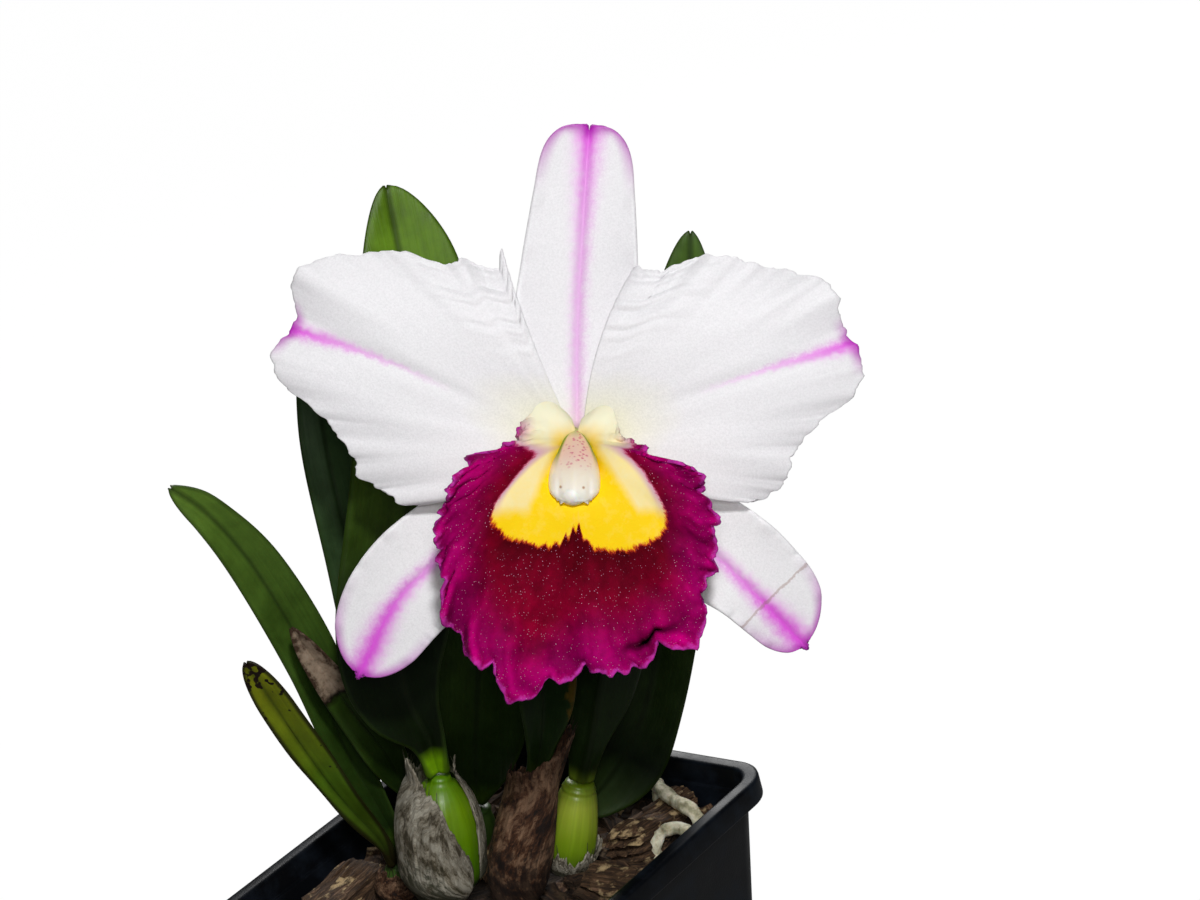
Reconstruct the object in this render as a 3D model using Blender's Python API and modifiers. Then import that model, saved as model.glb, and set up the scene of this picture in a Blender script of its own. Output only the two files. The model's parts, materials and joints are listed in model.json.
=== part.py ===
"""A potted cattleya orchid: one open flower over strap leaves, in a square plastic pot of bark.

The origin is the middle of the pot's flat base, +Z is up and the flower faces -Y.
Sizes are in millimetres and are scaled to metres as each mesh is made.
"""

import math
import random

import bmesh
import bpy
from mathutils import Euler, Matrix, Vector

MM = 0.001
CLEARANCE = 0.3

POT_HEIGHT = 75.0
POT_BASE_HALF = 27.0
POT_TAPER = math.radians(8.0)
POT_WALL = 1.1
POT_TURN = math.radians(45.0)
RIM_HALF = 39.6
RIM_DEPTH = 4.6
RIM_INNER_HALF = 36.6
LEDGE_Z = 70.4
CORNER_RADIUS = 6.0
DRAIN_RADIUS = 3.5
DRAIN_OFFSET = 15.0

MIX_TOP = 66.0
CHIP_COUNT = 34
CHIP_SEED = 11
BIG_CHIP_CUT = 0.16
# Middle, length, width, height and turn of the big pieces of bark that lie on top
BIG_CHIPS = (
    ((30.5, 1.0, 67.2), (17.0, 9.0, 7.5), 52),
    ((35.0, 7.0, 67.4), (9.0, 6.0, 6.0), 20),
    ((22.5, -14.5, 67.2), (10.0, 8.0, 6.5), -30),
    ((-28.5, 8.5, 67.0), (14.0, 11.0, 8.5), 40),
    ((-21.0, -9.5, 66.5), (11.0, 8.5, 7.5), -25),
    ((-2.0, -22.0, 66.4), (12.0, 8.0, 7.0), 15),
)

RHIZOME_RADIUS = 2.4
RHIZOME_Z = 63.2
BULB_LEVELS = 7
SHEATH_THICKNESS = 0.7
LEAF_THICKNESS = 0.9
PETAL_THICKNESS = 0.7

# Where the sepals and petals meet, and how the flower is turned to the light
FLOWER_AT = Vector((38.1, -22.0, 158.0))
FLOWER_NOD = math.radians(20.7)
FLOWER_LEAN = math.radians(15.4)
RECEPTACLE_RADIUS = 2.6
RECEPTACLE_AT = Vector((0.0, 0.0, -3.0))
WHORL_RADIUS = RECEPTACLE_RADIUS + CLEARANCE + PETAL_THICKNESS / 2 + 0.05

# Share of a pseudobulb's greatest radius at even heights from its foot to its apex
EGG = (0.36, 0.62, 0.95, 1.0, 0.98, 0.88, 0.66, 0.28)
BOTTLE = (0.45, 0.78, 0.97, 1.0, 0.93, 0.82, 0.7, 0.62)
CLUB = (0.45, 0.8, 0.98, 1.0, 0.96, 0.88, 0.74, 0.55)
# Foot and apex of each pseudobulb, with its greatest radius and its form
BULBS = {
    "pseudobulb_a": ((-9.2, -5.0), (-2.9, -5.0, 94.2), 7.3, EGG),
    "pseudobulb_b": ((2.8, -12.0), (13.5, -12.0, 91.5), 4.5, BOTTLE),
    "pseudobulb_c": ((13.8, -3.0), (21.1, -3.0, 84.2), 4.8, CLUB),
    "pseudobulb_d": ((16.4, 8.0), (18.0, 8.0, 71.4), 3.3, BOTTLE),
    "pseudobulb_e": ((-9.5, 9.5), (-8.0, 9.0, 84.0), 3.8, BOTTLE),
    "pseudobulb_f": ((-18.5, 4.0), (-15.6, 3.4, 75.0), 3.4, BOTTLE),
    "pseudobulb_g": ((-1.4, 14.0), (0.5, 14.0, 76.0), 3.4, BOTTLE),
}

GREEN = (0.06, 0.17, 0.02)
LIME = (0.17, 0.30, 0.01)
YELLOW_GREEN = (0.22, 0.32, 0.03)
DARK_GREEN = (0.03, 0.09, 0.015)
GREY_SHEATH = (0.30, 0.26, 0.20)
BROWN_SHEATH = (0.12, 0.06, 0.035)
BARK = (0.11, 0.06, 0.035)
ROOT_CREAM = (0.55, 0.50, 0.36)
WHITE = (0.84, 0.83, 0.84)
CRIMSON = (0.27, 0.003, 0.09)
CREAM = (0.85, 0.78, 0.50)
BLACK_PLASTIC = (0.008, 0.010, 0.014)


def clear_scene():
    for obj in list(bpy.data.objects):
        bpy.data.objects.remove(obj, do_unlink=True)


def new_collection(name):
    collection = bpy.data.collections.new(name)
    bpy.context.scene.collection.children.link(collection)
    return collection


def new_material(name, colour, roughness, metallic=0.0):
    material = bpy.data.materials.new(name)
    material.use_nodes = True
    shader = material.node_tree.nodes["Principled BSDF"]
    shader.inputs["Base Color"].default_value = (*colour, 1.0)
    shader.inputs["Roughness"].default_value = roughness
    shader.inputs["Metallic"].default_value = metallic
    material.diffuse_color = (*colour, 1.0)
    return material


def new_object(name, data, collection, colour=None, roughness=0.5):
    obj = bpy.data.objects.new(name, data)
    collection.objects.link(obj)
    if colour is not None:
        data.materials.append(new_material(name, colour, roughness))
    return obj


def smooth_shading(mesh, angle=40.0):
    mesh.shade_smooth()
    mesh.set_sharp_from_angle(angle=math.radians(angle))


def mesh_from(name, bm):
    mesh = bpy.data.meshes.new(name)
    bm.to_mesh(mesh)
    bm.free()
    return mesh


def between(values, t):
    """Smooth curve through evenly spaced values, read at t from 0 to 1."""
    last = len(values) - 1
    place = min(max(t, 0.0), 1.0) * last
    i = min(int(place), last - 1)
    f = place - i
    a, b = values[i], values[i + 1]
    before = values[i - 1] if i > 0 else a * 2 - b
    after = values[i + 2] if i + 2 <= last else b * 2 - a
    slope_a, slope_b = (b - before) * 0.5, (after - a) * 0.5
    f2, f3 = f * f, f * f * f
    return (
        a * (2 * f3 - 3 * f2 + 1)
        + slope_a * (f3 - 2 * f2 + f)
        + b * (3 * f2 - 2 * f3)
        + slope_b * (f3 - f2)
    )


def grid_sheet(name, rows, thickness, collection, colour, roughness):
    """A thin sheet through rows of points, split alike on both faces and given its thickness."""
    bm = bmesh.new()
    grid = [[bm.verts.new(Vector(point) * MM) for point in row] for row in rows]
    for lower, upper in zip(grid, grid[1:]):
        for j in range(len(lower) - 1):
            bm.faces.new((lower[j], lower[j + 1], upper[j + 1]))
            bm.faces.new((lower[j], upper[j + 1], upper[j]))
    mesh = mesh_from(name, bm)
    mesh.shade_smooth()
    obj = new_object(name, mesh, collection, colour, roughness)
    solidify = obj.modifiers.new("thickness", "SOLIDIFY")
    solidify.thickness = thickness * MM
    solidify.offset = 0.0
    return obj


def loft(name, rings, collection, colour, roughness):
    """A closed solid through rings of equal point count, capped at the first and the last."""
    bm = bmesh.new()
    loops = [[bm.verts.new(Vector(point) * MM) for point in ring] for ring in rings]
    count = len(loops[0])
    for lower, upper in zip(loops, loops[1:]):
        for j in range(count):
            k = (j + 1) % count
            bm.faces.new((lower[j], lower[k], upper[k], upper[j]))
    bm.faces.new(list(reversed(loops[0])))
    bm.faces.new(loops[-1])
    return new_object(name, mesh_from(name, bm), collection, colour, roughness)


def tube(name, points, radii, collection, colour, roughness, sides=2):
    """A round stem along a smooth path, with a radius at each of its points and closed ends."""
    curve = bpy.data.curves.new(name, "CURVE")
    curve.dimensions = "3D"
    curve.bevel_depth = MM
    curve.bevel_resolution = sides
    curve.use_fill_caps = True
    spline = curve.splines.new("POLY")
    spline.points.add(len(points) - 1)
    for place, point, radius in zip(spline.points, points, radii):
        place.co = (*(Vector(point) * MM), 1.0)
        place.radius = radius
    return new_object(name, curve, collection, colour, roughness)


def along(points, count):
    """Evenly read points of a smooth path through a few chosen ones."""
    vectors = [Vector(point) for point in points]
    return [between(vectors, i / (count - 1)) for i in range(count)]


def as_mesh_object(obj, collection):
    """The evaluated shape of an object as a plain mesh of its own, with its loose ends welded."""
    graph = bpy.context.evaluated_depsgraph_get()
    mesh = bpy.data.meshes.new_from_object(obj.evaluated_get(graph))
    bm = bmesh.new()
    bm.from_mesh(mesh)
    bmesh.ops.remove_doubles(bm, verts=bm.verts, dist=1e-6)
    bmesh.ops.recalc_face_normals(bm, faces=bm.faces)
    bm.to_mesh(mesh)
    bm.free()
    solid = bpy.data.objects.new(obj.name + "_solid", mesh)
    collection.objects.link(solid)
    solid.matrix_world = obj.matrix_world
    return solid


def drop_crumbs(mesh):
    """Keeps the largest of a mesh's separate shells."""
    bm = bmesh.new()
    bm.from_mesh(mesh)
    left = set(bm.faces)
    shells = []
    while left:
        shell = [left.pop()]
        for face in shell:
            for edge in face.edges:
                for other in edge.link_faces:
                    if other in left:
                        left.discard(other)
                        shell.append(other)
        shells.append(shell)
    shells.sort(key=len)
    crumbs = [face for shell in shells[:-1] for face in shell]
    bmesh.ops.delete(bm, geom=crumbs, context="FACES")
    bm.to_mesh(mesh)
    bm.free()


def hide_helper(obj):
    obj.hide_render = True
    obj.display_type = "WIRE"


def boolean(obj, operation, collection, solver="EXACT"):
    modifier = obj.modifiers.new(operation.lower(), "BOOLEAN")
    modifier.operation = operation
    modifier.operand_type = "COLLECTION"
    modifier.collection = collection
    modifier.solver = solver
    return modifier


def apply_modifiers(obj):
    graph = bpy.context.evaluated_depsgraph_get()
    mesh = bpy.data.meshes.new_from_object(obj.evaluated_get(graph))
    obj.modifiers.clear()
    obj.data = mesh


def square_ring(half, z, radius, segments=4):
    """One level of a square with rounded corners."""
    ring = []
    for corner in range(4):
        turn = corner * math.pi / 2
        for i in range(segments + 1):
            angle = turn + i * math.pi / 2 / segments
            middle = Vector((half - radius, half - radius)) @ Matrix.Rotation(-turn, 2)
            arc = Vector((math.cos(angle), math.sin(angle))) * radius
            ring.append((middle.x + arc.x, middle.y + arc.y, z))
    return ring


def pot_half(z):
    return POT_BASE_HALF + z * math.tan(POT_TAPER)


def inner_half(z):
    return pot_half(z) - POT_WALL


def build_pot(part, cutters):
    """Tapered moulded shell with a folded rim, an inner ledge and drain holes in the floor."""
    flange_z = POT_HEIGHT - 1.4
    lip_inside = RIM_HALF - 1.1
    outer = (
        (POT_BASE_HALF - 0.7, 0.0, CORNER_RADIUS - 1.6),
        (POT_BASE_HALF, 0.7, CORNER_RADIUS - 1.2),
        (pot_half(flange_z), flange_z, CORNER_RADIUS - 1.0),
        (lip_inside, flange_z, CORNER_RADIUS + 0.2),
        (lip_inside, POT_HEIGHT - RIM_DEPTH, CORNER_RADIUS + 0.2),
        (RIM_HALF, POT_HEIGHT - RIM_DEPTH, CORNER_RADIUS + 1.0),
        (RIM_HALF, POT_HEIGHT - 0.8, CORNER_RADIUS + 1.0),
        (RIM_HALF - 0.8, POT_HEIGHT, CORNER_RADIUS + 0.4),
    )
    inner = (
        (RIM_INNER_HALF + 0.5, POT_HEIGHT, CORNER_RADIUS - 1.2),
        (RIM_INNER_HALF, POT_HEIGHT - 0.6, CORNER_RADIUS - 1.6),
        (RIM_INNER_HALF - 0.2, LEDGE_Z + 0.6, CORNER_RADIUS - 1.6),
        (inner_half(LEDGE_Z), LEDGE_Z, CORNER_RADIUS - 2.0),
        (inner_half(2.0), 2.0, CORNER_RADIUS - 2.4),
        (inner_half(1.4) - 0.6, 1.4, CORNER_RADIUS - 2.8),
    )
    rings = [square_ring(*level) for level in outer + inner]
    pot = loft("pot", rings, part, BLACK_PLASTIC, 0.42)
    smooth_shading(pot.data, 30.0)
    pot.rotation_euler.z = POT_TURN
    holes = new_collection("drain_cutters")
    cutters.children.link(holes)
    bpy.context.scene.collection.children.unlink(holes)
    for sx in (-1, 1):
        for sy in (-1, 1):
            bm = bmesh.new()
            bmesh.ops.create_cone(
                bm, cap_ends=True, segments=12, depth=6 * MM,
                radius1=DRAIN_RADIUS * MM, radius2=DRAIN_RADIUS * MM,
            )
            cutter = new_object("drain_cutter", mesh_from("drain_cutter", bm), holes)
            place = Vector((sx * DRAIN_OFFSET, sy * DRAIN_OFFSET, 0.0)) * MM
            cutter.location = Matrix.Rotation(POT_TURN, 3, "Z") @ place
            hide_helper(cutter)
    boolean(pot, "DIFFERENCE", holes)
    return pot


def chip(name, middle, size, euler, rng, collection, cut=0.0):
    """One broken piece of bark: a box with shifted corners, its edges cut off by this share."""
    bm = bmesh.new()
    bmesh.ops.create_cube(bm, size=1.0)
    if cut:
        bmesh.ops.bevel(bm, geom=bm.edges[:], offset=cut, segments=1, affect="EDGES")
    for vert in bm.verts:
        vert.co += Vector([rng.uniform(-0.07, 0.07) for _ in range(3)])
        vert.co = Vector([c * s * MM for c, s in zip(vert.co, size)])
    obj = new_object(name, mesh_from(name, bm), collection)
    obj.matrix_world = Matrix.Translation(Vector(middle) * MM) @ euler.to_matrix().to_4x4()
    return obj


def stands_clear(place, reach):
    """True where a chip of this reach stays off every pseudobulb and sheath."""
    for foot, apex, radius, _ in BULBS.values():
        lean = (Vector(apex[:2]) - Vector(foot)) * 0.25
        for point in (Vector(foot), Vector(foot) + lean):
            if (Vector(place) - point).length < reach + radius + 1.6:
                return False
    return True


def build_mix(part, paths):
    """Bark mix that fills the pot to below the rim, its chips joined to it, grooved for the roots."""
    rng = random.Random(CHIP_SEED)
    gap = CLEARANCE + 0.05
    rings = [
        square_ring(inner_half(1.4) - 0.6 - gap, 1.4 + gap, CORNER_RADIUS - 2.8),
        square_ring(inner_half(2.4) - gap, 2.4 + gap, CORNER_RADIUS - 2.4),
        square_ring(inner_half(MIX_TOP - 1.5) - gap, MIX_TOP - 1.5, CORNER_RADIUS - 2.4),
    ]
    for share, rise in ((0.9, 0.4), (0.68, 0.0), (0.42, 0.2), (0.18, 0.0)):
        level = square_ring(inner_half(MIX_TOP) * share, MIX_TOP + rise, 4.0 * share)
        rings.append([(x, y, z + rng.uniform(-0.9, 0.5)) for x, y, z in level])
    mix = loft("potting_mix", rings, part, BARK, 0.9)
    mix.data.transform(Matrix.Rotation(POT_TURN, 4, "Z"))
    chips = new_collection("loose_chips")
    for i, (middle, size, turn) in enumerate(BIG_CHIPS):
        tilt = Euler((rng.uniform(-0.2, 0.2), rng.uniform(-0.2, 0.2), math.radians(turn)))
        chip("big_chip_%d" % i, middle, size, tilt, rng, chips, BIG_CHIP_CUT)
    placed = 0
    while placed < CHIP_COUNT:
        size = (rng.uniform(6, 10), rng.uniform(4.5, 7), rng.uniform(3.5, 5.5))
        reach = size[0] * 0.55
        span = inner_half(MIX_TOP) - reach - 1.0
        x, y = rng.uniform(-span, span), rng.uniform(-span, span)
        place = Matrix.Rotation(POT_TURN, 2) @ Vector((x, y))
        tilt = Euler((rng.uniform(-0.6, 0.6), rng.uniform(-0.4, 0.4), rng.uniform(0, 6.3)))
        if not stands_clear(place, reach):
            continue
        middle = (place.x, place.y, MIX_TOP + rng.uniform(-1.2, 0.8))
        chip("chip_%02d" % placed, middle, size, tilt, rng, chips)
        placed += 1
    boolean(mix, "UNION", chips)
    apply_modifiers(mix)
    grooves = new_collection("groove_cutters")
    for name, points, radii in paths:
        ends = [points[0] - points[1], points[-1] - points[-2]]
        line = list(points)
        line[0] = points[0] + ends[0].normalized() * gap
        line[-1] = points[-1] + ends[1].normalized() * gap
        wide = tube(name + "_groove", line, [r + CLEARANCE for r in radii], grooves, BARK, 1.0)
        as_mesh_object(wide, grooves)
        bpy.data.objects.remove(wide, do_unlink=True)
    for name in BULBS:
        base, axis = bulb_axis(name)
        well = [base - axis * 0.1, base, base + axis * 0.25]
        radii = [bulb_radius(name, t) + 1.9 for t in (0.0, 0.05, 0.25)]
        wide = tube(name + "_well", well, radii, grooves, BARK, 1.0, sides=3)
        as_mesh_object(wide, grooves)
        bpy.data.objects.remove(wide, do_unlink=True)
    boolean(mix, "DIFFERENCE", grooves)
    apply_modifiers(mix)
    drop_crumbs(mix.data)
    for helpers in (chips, grooves):
        for obj in list(helpers.objects):
            bpy.data.objects.remove(obj, do_unlink=True)
        bpy.data.collections.remove(helpers)
    return mix


def bulb_axis(name):
    """Where a leaning pseudobulb stands, just clear of the rhizome, and the line to its apex."""
    foot, apex, radius, form = BULBS[name]
    base = Vector((*foot, RHIZOME_Z + RHIZOME_RADIUS + CLEARANCE))
    lean = (Vector(apex) - base).normalized()
    base.z += radius * form[0] * math.hypot(lean.x, lean.y)
    return base, Vector(apex) - base


def build_bulb(name, part, colour):
    """A swollen stem: a turned profile that stands on the rhizome and leans to its apex."""
    radius, form = BULBS[name][2:]
    base, axis = bulb_axis(name)
    length = axis.length
    neck = bulb_radius(name, 1.0)
    profile = [(0.0, length), (neck * 0.85, length), (neck * 1.02, length - 0.5)]
    profile += [(neck * 1.06, length - 1.1)]
    for i in range(BULB_LEVELS, 0, -1):
        t = i / (BULB_LEVELS + 1) * 0.95
        profile.append((bulb_radius(name, t), length * t))
    profile.append((radius * form[0], 0.0))
    profile.append((0.0, 0.0))
    bm = bmesh.new()
    verts = [bm.verts.new(Vector((x, 0.0, z)) * MM) for x, z in profile]
    for a, b in zip(verts, verts[1:]):
        bm.edges.new((a, b))
    obj = new_object(name, mesh_from(name, bm), part, colour, 0.35)
    screw = obj.modifiers.new("turned", "SCREW")
    screw.steps = screw.render_steps = 12
    screw.use_merge_vertices = True
    screw.merge_threshold = 1e-5
    obj.location = base * MM
    obj.rotation_mode = "QUATERNION"
    obj.rotation_quaternion = Vector((0, 0, 1)).rotation_difference(axis.normalized())
    return obj


def bulb_radius(name, t):
    """Radius of a pseudobulb at a share t of its height."""
    _, _, radius, form = BULBS[name]
    return radius * between(form, t)


# Bulb, first angle and sweep in degrees, height of the foot and heights of the torn edge across
# it as shares of the bulb's height, how far it stands off up the bulb, tear depth and colour
SHEATHS = {
    "sheath_a": ("pseudobulb_a", 100, 208, 0.03, (0.92, 1.0, 1.08, 1.14, 1.0, 0.82, 0.42),
                 (0.8, 1.0, 1.3, 2.2, 3.7), 0.02, GREY_SHEATH),
    "sheath_a_strip": ("pseudobulb_a", -30, 46, 0.36, (0.6, 0.98, 1.08, 0.9),
                       (0.7, 0.8, 1.0, 1.2, 1.6), 0.04, GREY_SHEATH),
    "sheath_b": ("pseudobulb_b", 95, 345, 0.03, (1.1, 1.12, 1.16, 1.2, 1.26, 1.4, 1.44, 1.2),
                 (0.85, 1.1, 1.3, 1.6, 1.8), 0.02, BROWN_SHEATH),
    "sheath_c": ("pseudobulb_c", 190, 190, 0.03, (0.4, 0.3, 0.22, 0.3, 0.26, 0.42),
                 (0.8, 0.85, 0.9, 1.1, 1.3), 0.05, GREY_SHEATH),
    "sheath_e": ("pseudobulb_e", 130, 240, 0.03, (0.7, 0.86, 0.66, 0.82),
                 (0.85, 0.9, 0.9, 1.0, 1.2), 0.05, BROWN_SHEATH),
    "sheath_f": ("pseudobulb_f", 150, 230, 0.03, (0.6, 0.8, 0.7, 0.5),
                 (0.85, 0.9, 0.9, 1.0, 1.2), 0.05, BROWN_SHEATH),
}
SHEATH_ROWS = 5
SHEATH_STEP = 24.0
SHEATH_FLARE = 0.12


def build_sheath(name, part):
    """Dry sheath wrapped round part of a pseudobulb, with a torn upper edge."""
    bulb, start, sweep, low, tops, stand_off, tear, colour = SHEATHS[name]
    base, axis = bulb_axis(bulb)
    turn = Vector((0, 0, 1)).rotation_difference(axis.normalized())
    columns = round(sweep / SHEATH_STEP) + 2
    grid = []
    for i in range(SHEATH_ROWS + 1):
        row = []
        for j in range(columns + 1):
            across = j / columns
            angle = math.radians(start + sweep * across)
            top = between(tops, across) + tear * math.sin(j * 2.4)
            t = low + (top - low) * i / SHEATH_ROWS
            radius = bulb_radius(bulb, min(t, 1.0)) + between(stand_off, min(t, 1.0))
            radius += max(t - 1.0, 0.0) * axis.length * SHEATH_FLARE
            local = Vector((math.cos(angle) * radius, math.sin(angle) * radius, t * axis.length))
            row.append(base + turn @ local)
        grid.append(row)
    return grid_sheet(name, list(reversed(grid)), SHEATH_THICKNESS, part, colour, 0.8)


def strap_rows(path, left, right, facing, fold, rows, columns, crease=1.0, wave=0.0, waves=3.0,
               blunt=0.12):
    """Rows of points of a blade along a path: half widths at even stations, folded along its middle."""
    spots = [Vector(point) for point in path]
    faces = [Vector(face) for face in facing]
    grid = []
    for i in range(rows + 1):
        t = 1.0 - (1.0 - i / rows) ** 1.25
        middle = between(spots, t)
        ahead = between(spots, min(t + 0.02, 1.0)) - between(spots, max(t - 0.02, 0.0))
        ahead.normalize()
        side = ahead.cross(between(faces, t)).normalized()
        out = side.cross(ahead)
        tip = 1.0
        if t > 1.0 - blunt:
            tip = math.sqrt(max(0.0, 1.0 - ((t - 1.0 + blunt) / blunt) ** 2))
        angle = math.radians(between(fold, t))
        row = []
        for j in range(-columns, columns + 1):
            share = j / columns
            half = between(left if share < 0 else right, t) * tip
            half = max(half, 0.45)
            ripple = wave * share * share * math.sin(2 * math.pi * waves * t + (1.7 if share < 0 else 0))
            lift = half * math.sin(angle) * abs(share) ** crease + ripple * tip
            row.append(middle + side * (share * half * math.cos(angle)) + out * lift)
        grid.append(row)
    return grid


# Path, left and right half widths, facing at foot and tip, fold in degrees, and colour of each leaf
LEAVES = {
    "leaf_a": (
        ((-2.9, -5.0, 94.8), (-2.7, -5.6, 102.0), (-4.0, -6.0, 112.0), (-2.6, -5.0, 124.0),
         (6.8, -1.0, 148.0), (14.6, 5.0, 175.0), (17.2, 10.0, 198.5)),
        (1.9, 4.2, 10.0, 11.4, 11.0, 9.0, 5.0), (1.9, 3.0, 6.5, 9.5, 12.0, 11.0, 8.0),
        ((0.0, -1.0, 0.1), (0.3, -1.0, 0.3)), (46, 40, 28, 18, 14, 12, 10), GREEN),
    "leaf_b": (
        ((-8.0, 9.4, 84.6), (-8.6, 9.6, 98.0), (-8.8, 10.5, 112.0), (-8.0, 13.0, 132.0),
         (-6.6, 17.0, 154.0), (-3.6, 21.0, 172.0)),
        (1.6, 4.0, 5.4, 5.2, 4.6, 3.6), (1.6, 4.2, 6.0, 6.5, 6.5, 5.0),
        ((-0.2, -1.0, 0.1), (-0.3, -1.0, 0.2)), (55, 30, 22, 18, 16, 14), DARK_GREEN),
    "leaf_c": (
        ((-15.0, 4.6, 75.4), (-16.4, 5.4, 84.0), (-19.4, 7.0, 98.0), (-20.8, 8.0, 117.0),
         (-24.6, 7.0, 137.0), (-29.0, 5.0, 150.0), (-33.8, 3.0, 158.0)),
        (1.3, 2.6, 4.0, 4.8, 5.2, 5.0, 3.4), (1.3, 3.0, 5.0, 6.2, 5.4, 4.4, 3.0),
        ((0.3, -1.0, 0.0), (0.2, -1.0, 0.35)), (60, 52, 42, 34, 28, 24, 16), GREEN),
    "leaf_d": (
        ((-16.6, 1.9, 75.6), (-17.8, 0.6, 82.0), (-21.6, -1.4, 93.0), (-24.8, -4.0, 106.0),
         (-28.6, -7.6, 126.4)),
        (1.1, 1.9, 2.5, 2.8, 2.5), (1.1, 2.0, 2.7, 3.0, 2.7),
        ((0.1, -1.0, 0.0), (-0.1, -1.0, 0.3)), (60, 44, 34, 28, 20), YELLOW_GREEN),
    "leaf_e": (
        ((-9.4, 6.9, 84.4), (-11.0, 4.2, 91.0), (-12.4, 2.4, 99.0), (-15.2, 1.2, 108.0),
         (-18.0, 0.4, 118.0), (-20.9, 0.0, 127.4)),
        (1.2, 3.2, 4.4, 4.0, 3.2, 1.2), (1.2, 3.4, 4.6, 4.2, 3.2, 1.2),
        ((0.1, -1.0, 0.0), (0.1, -1.0, 0.3)), (60, 42, 34, 34, 40, 50), DARK_GREEN),
    "leaf_f": (
        ((13.6, -12.0, 91.9), (16.3, -12.2, 97.6), (19.0, -11.4, 105.6), (21.0, -8.8, 116.0),
         (21.8, -5.0, 129.0), (23.4, -2.0, 143.0)),
        (1.6, 2.9, 4.6, 6.0, 6.4, 5.0), (1.6, 3.1, 6.0, 6.8, 5.8, 4.6),
        ((0.0, -1.0, 0.1), (0.1, -1.0, 0.3)), (56, 36, 26, 20, 16, 12), DARK_GREEN),
    "leaf_g": (
        ((21.2, -4.7, 84.7), (24.6, -5.0, 91.6), (29.0, -3.4, 101.0), (37.6, 0.0, 119.0),
         (47.6, 4.6, 140.4), (55.3, 8.0, 158.6)),
        (2.2, 3.3, 7.0, 8.0, 7.6, 5.0), (2.2, 3.2, 4.4, 4.2, 5.4, 5.0),
        ((0.0, 1.0, -0.1), (0.1, 1.0, -0.3)), (22, 22, 20, 18, 16, 12), GREEN),
    "leaf_h": (
        ((18.4, 8.0, 72.4), (22.8, 7.8, 75.0), (29.4, 8.2, 80.6), (36.6, 9.4, 90.0),
         (44.4, 12.4, 106.5), (54.2, 15.6, 131.0), (61.6, 18.4, 154.0), (66.8, 20.4, 172.6)),
        (1.5, 4.8, 8.8, 11.6, 12.4, 10.6, 7.6, 4.4), (1.5, 3.6, 6.6, 8.2, 7.6, 6.8, 5.6, 3.6),
        ((-0.1, -1.0, 0.2), (0.0, -1.0, 0.3)), (55, 26, 18, 15, 14, 12, 10, 8), DARK_GREEN),
    "leaf_i": (
        ((0.6, 14.0, 76.4), (2.0, 14.4, 84.0), (5.0, 15.2, 94.0), (11.0, 17.0, 112.0),
         (18.0, 20.0, 132.0), (22.0, 22.0, 145.0)),
        (1.5, 5.4, 8.4, 9.4, 8.6, 6.0), (1.5, 7.6, 10.4, 11.0, 9.6, 6.0),
        ((0.0, -1.0, 0.1), (0.1, -1.0, 0.3)), (50, 26, 18, 14, 12, 10), DARK_GREEN),
}


def build_leaves(part):
    for name, (path, left, right, facing, fold, colour) in LEAVES.items():
        rows = strap_rows(path, left, right, facing, fold, 12, 2, wave=0.5, waves=2.5)
        grid_sheet(name, rows, LEAF_THICKNESS, part, colour, 0.4)


# Sepals in the flower's own frame: x to the viewer's right, y away from the viewer, z up
SEPALS = {
    "dorsal_sepal": (
        ((0.0, 3.2, 0.35), (0.1, 3.6, 17.0), (1.0, 4.2, 34.0), (2.1, 6.0, 51.6)),
        (2.6, 4.4, 8.2, 10.6, 9.9, 8.6, 7.4), (2.6, 4.4, 8.0, 10.3, 9.6, 8.4, 7.0)),
    "lateral_sepal_left": (
        ((-2.4, 3.3, -5.4), (-12.5, 4.3, -13.0), (-24.0, 5.2, -23.0), (-31.0, 6.2, -30.5),
         (-38.4, 8.4, -40.4)),
        (1.7, 5.2, 8.0, 9.2, 9.2, 8.2, 5.4), (1.7, 5.2, 8.0, 9.4, 9.2, 8.2, 5.4)),
    "lateral_sepal_right": (
        ((2.4, 3.3, -5.4), (12.5, 4.3, -12.8), (24.0, 5.2, -22.6), (31.0, 6.2, -29.5),
         (38.4, 8.4, -37.2)),
        (1.7, 5.4, 8.4, 10.0, 10.2, 9.4, 5.6), (1.7, 5.0, 7.2, 7.6, 6.2, 5.4, 4.4)),
}


def build_sepals(part, frame):
    for name, (path, left, right) in SEPALS.items():
        facing = ((0.0, -1.0, 0.0), (0.0, -1.0, 0.0))
        rows = strap_rows(path, left, right, facing, (8, 10, 8, 4), 11, 3, crease=2.0,
                          wave=0.35, waves=2.0, blunt=0.14)
        sepal = grid_sheet(name, rows, PETAL_THICKNESS, part, WHITE, 0.5)
        sepal.parent = frame


# First angle, step and reach of each petal's rays from the middle of the flower, in degrees and mm
PETALS = {
    "petal_left": (112.5, 8.0, (31.9, 31.9, 35.0, 43.0, 49.8, 53.5, 50.2, 51.3, 43.0, 38.6, 36.6,
                                33.0, 26.5)),
    "petal_right": (-26.0, 8.0, (29.0, 34.8, 36.1, 38.6, 46.0, 49.0, 47.6, 48.0, 42.3, 38.5, 34.5,
                                 28.3, 28.1)),
}
PETAL_BULGE = 1.7
PETAL_ROWS = 6
PETAL_COLUMNS = 20


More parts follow.
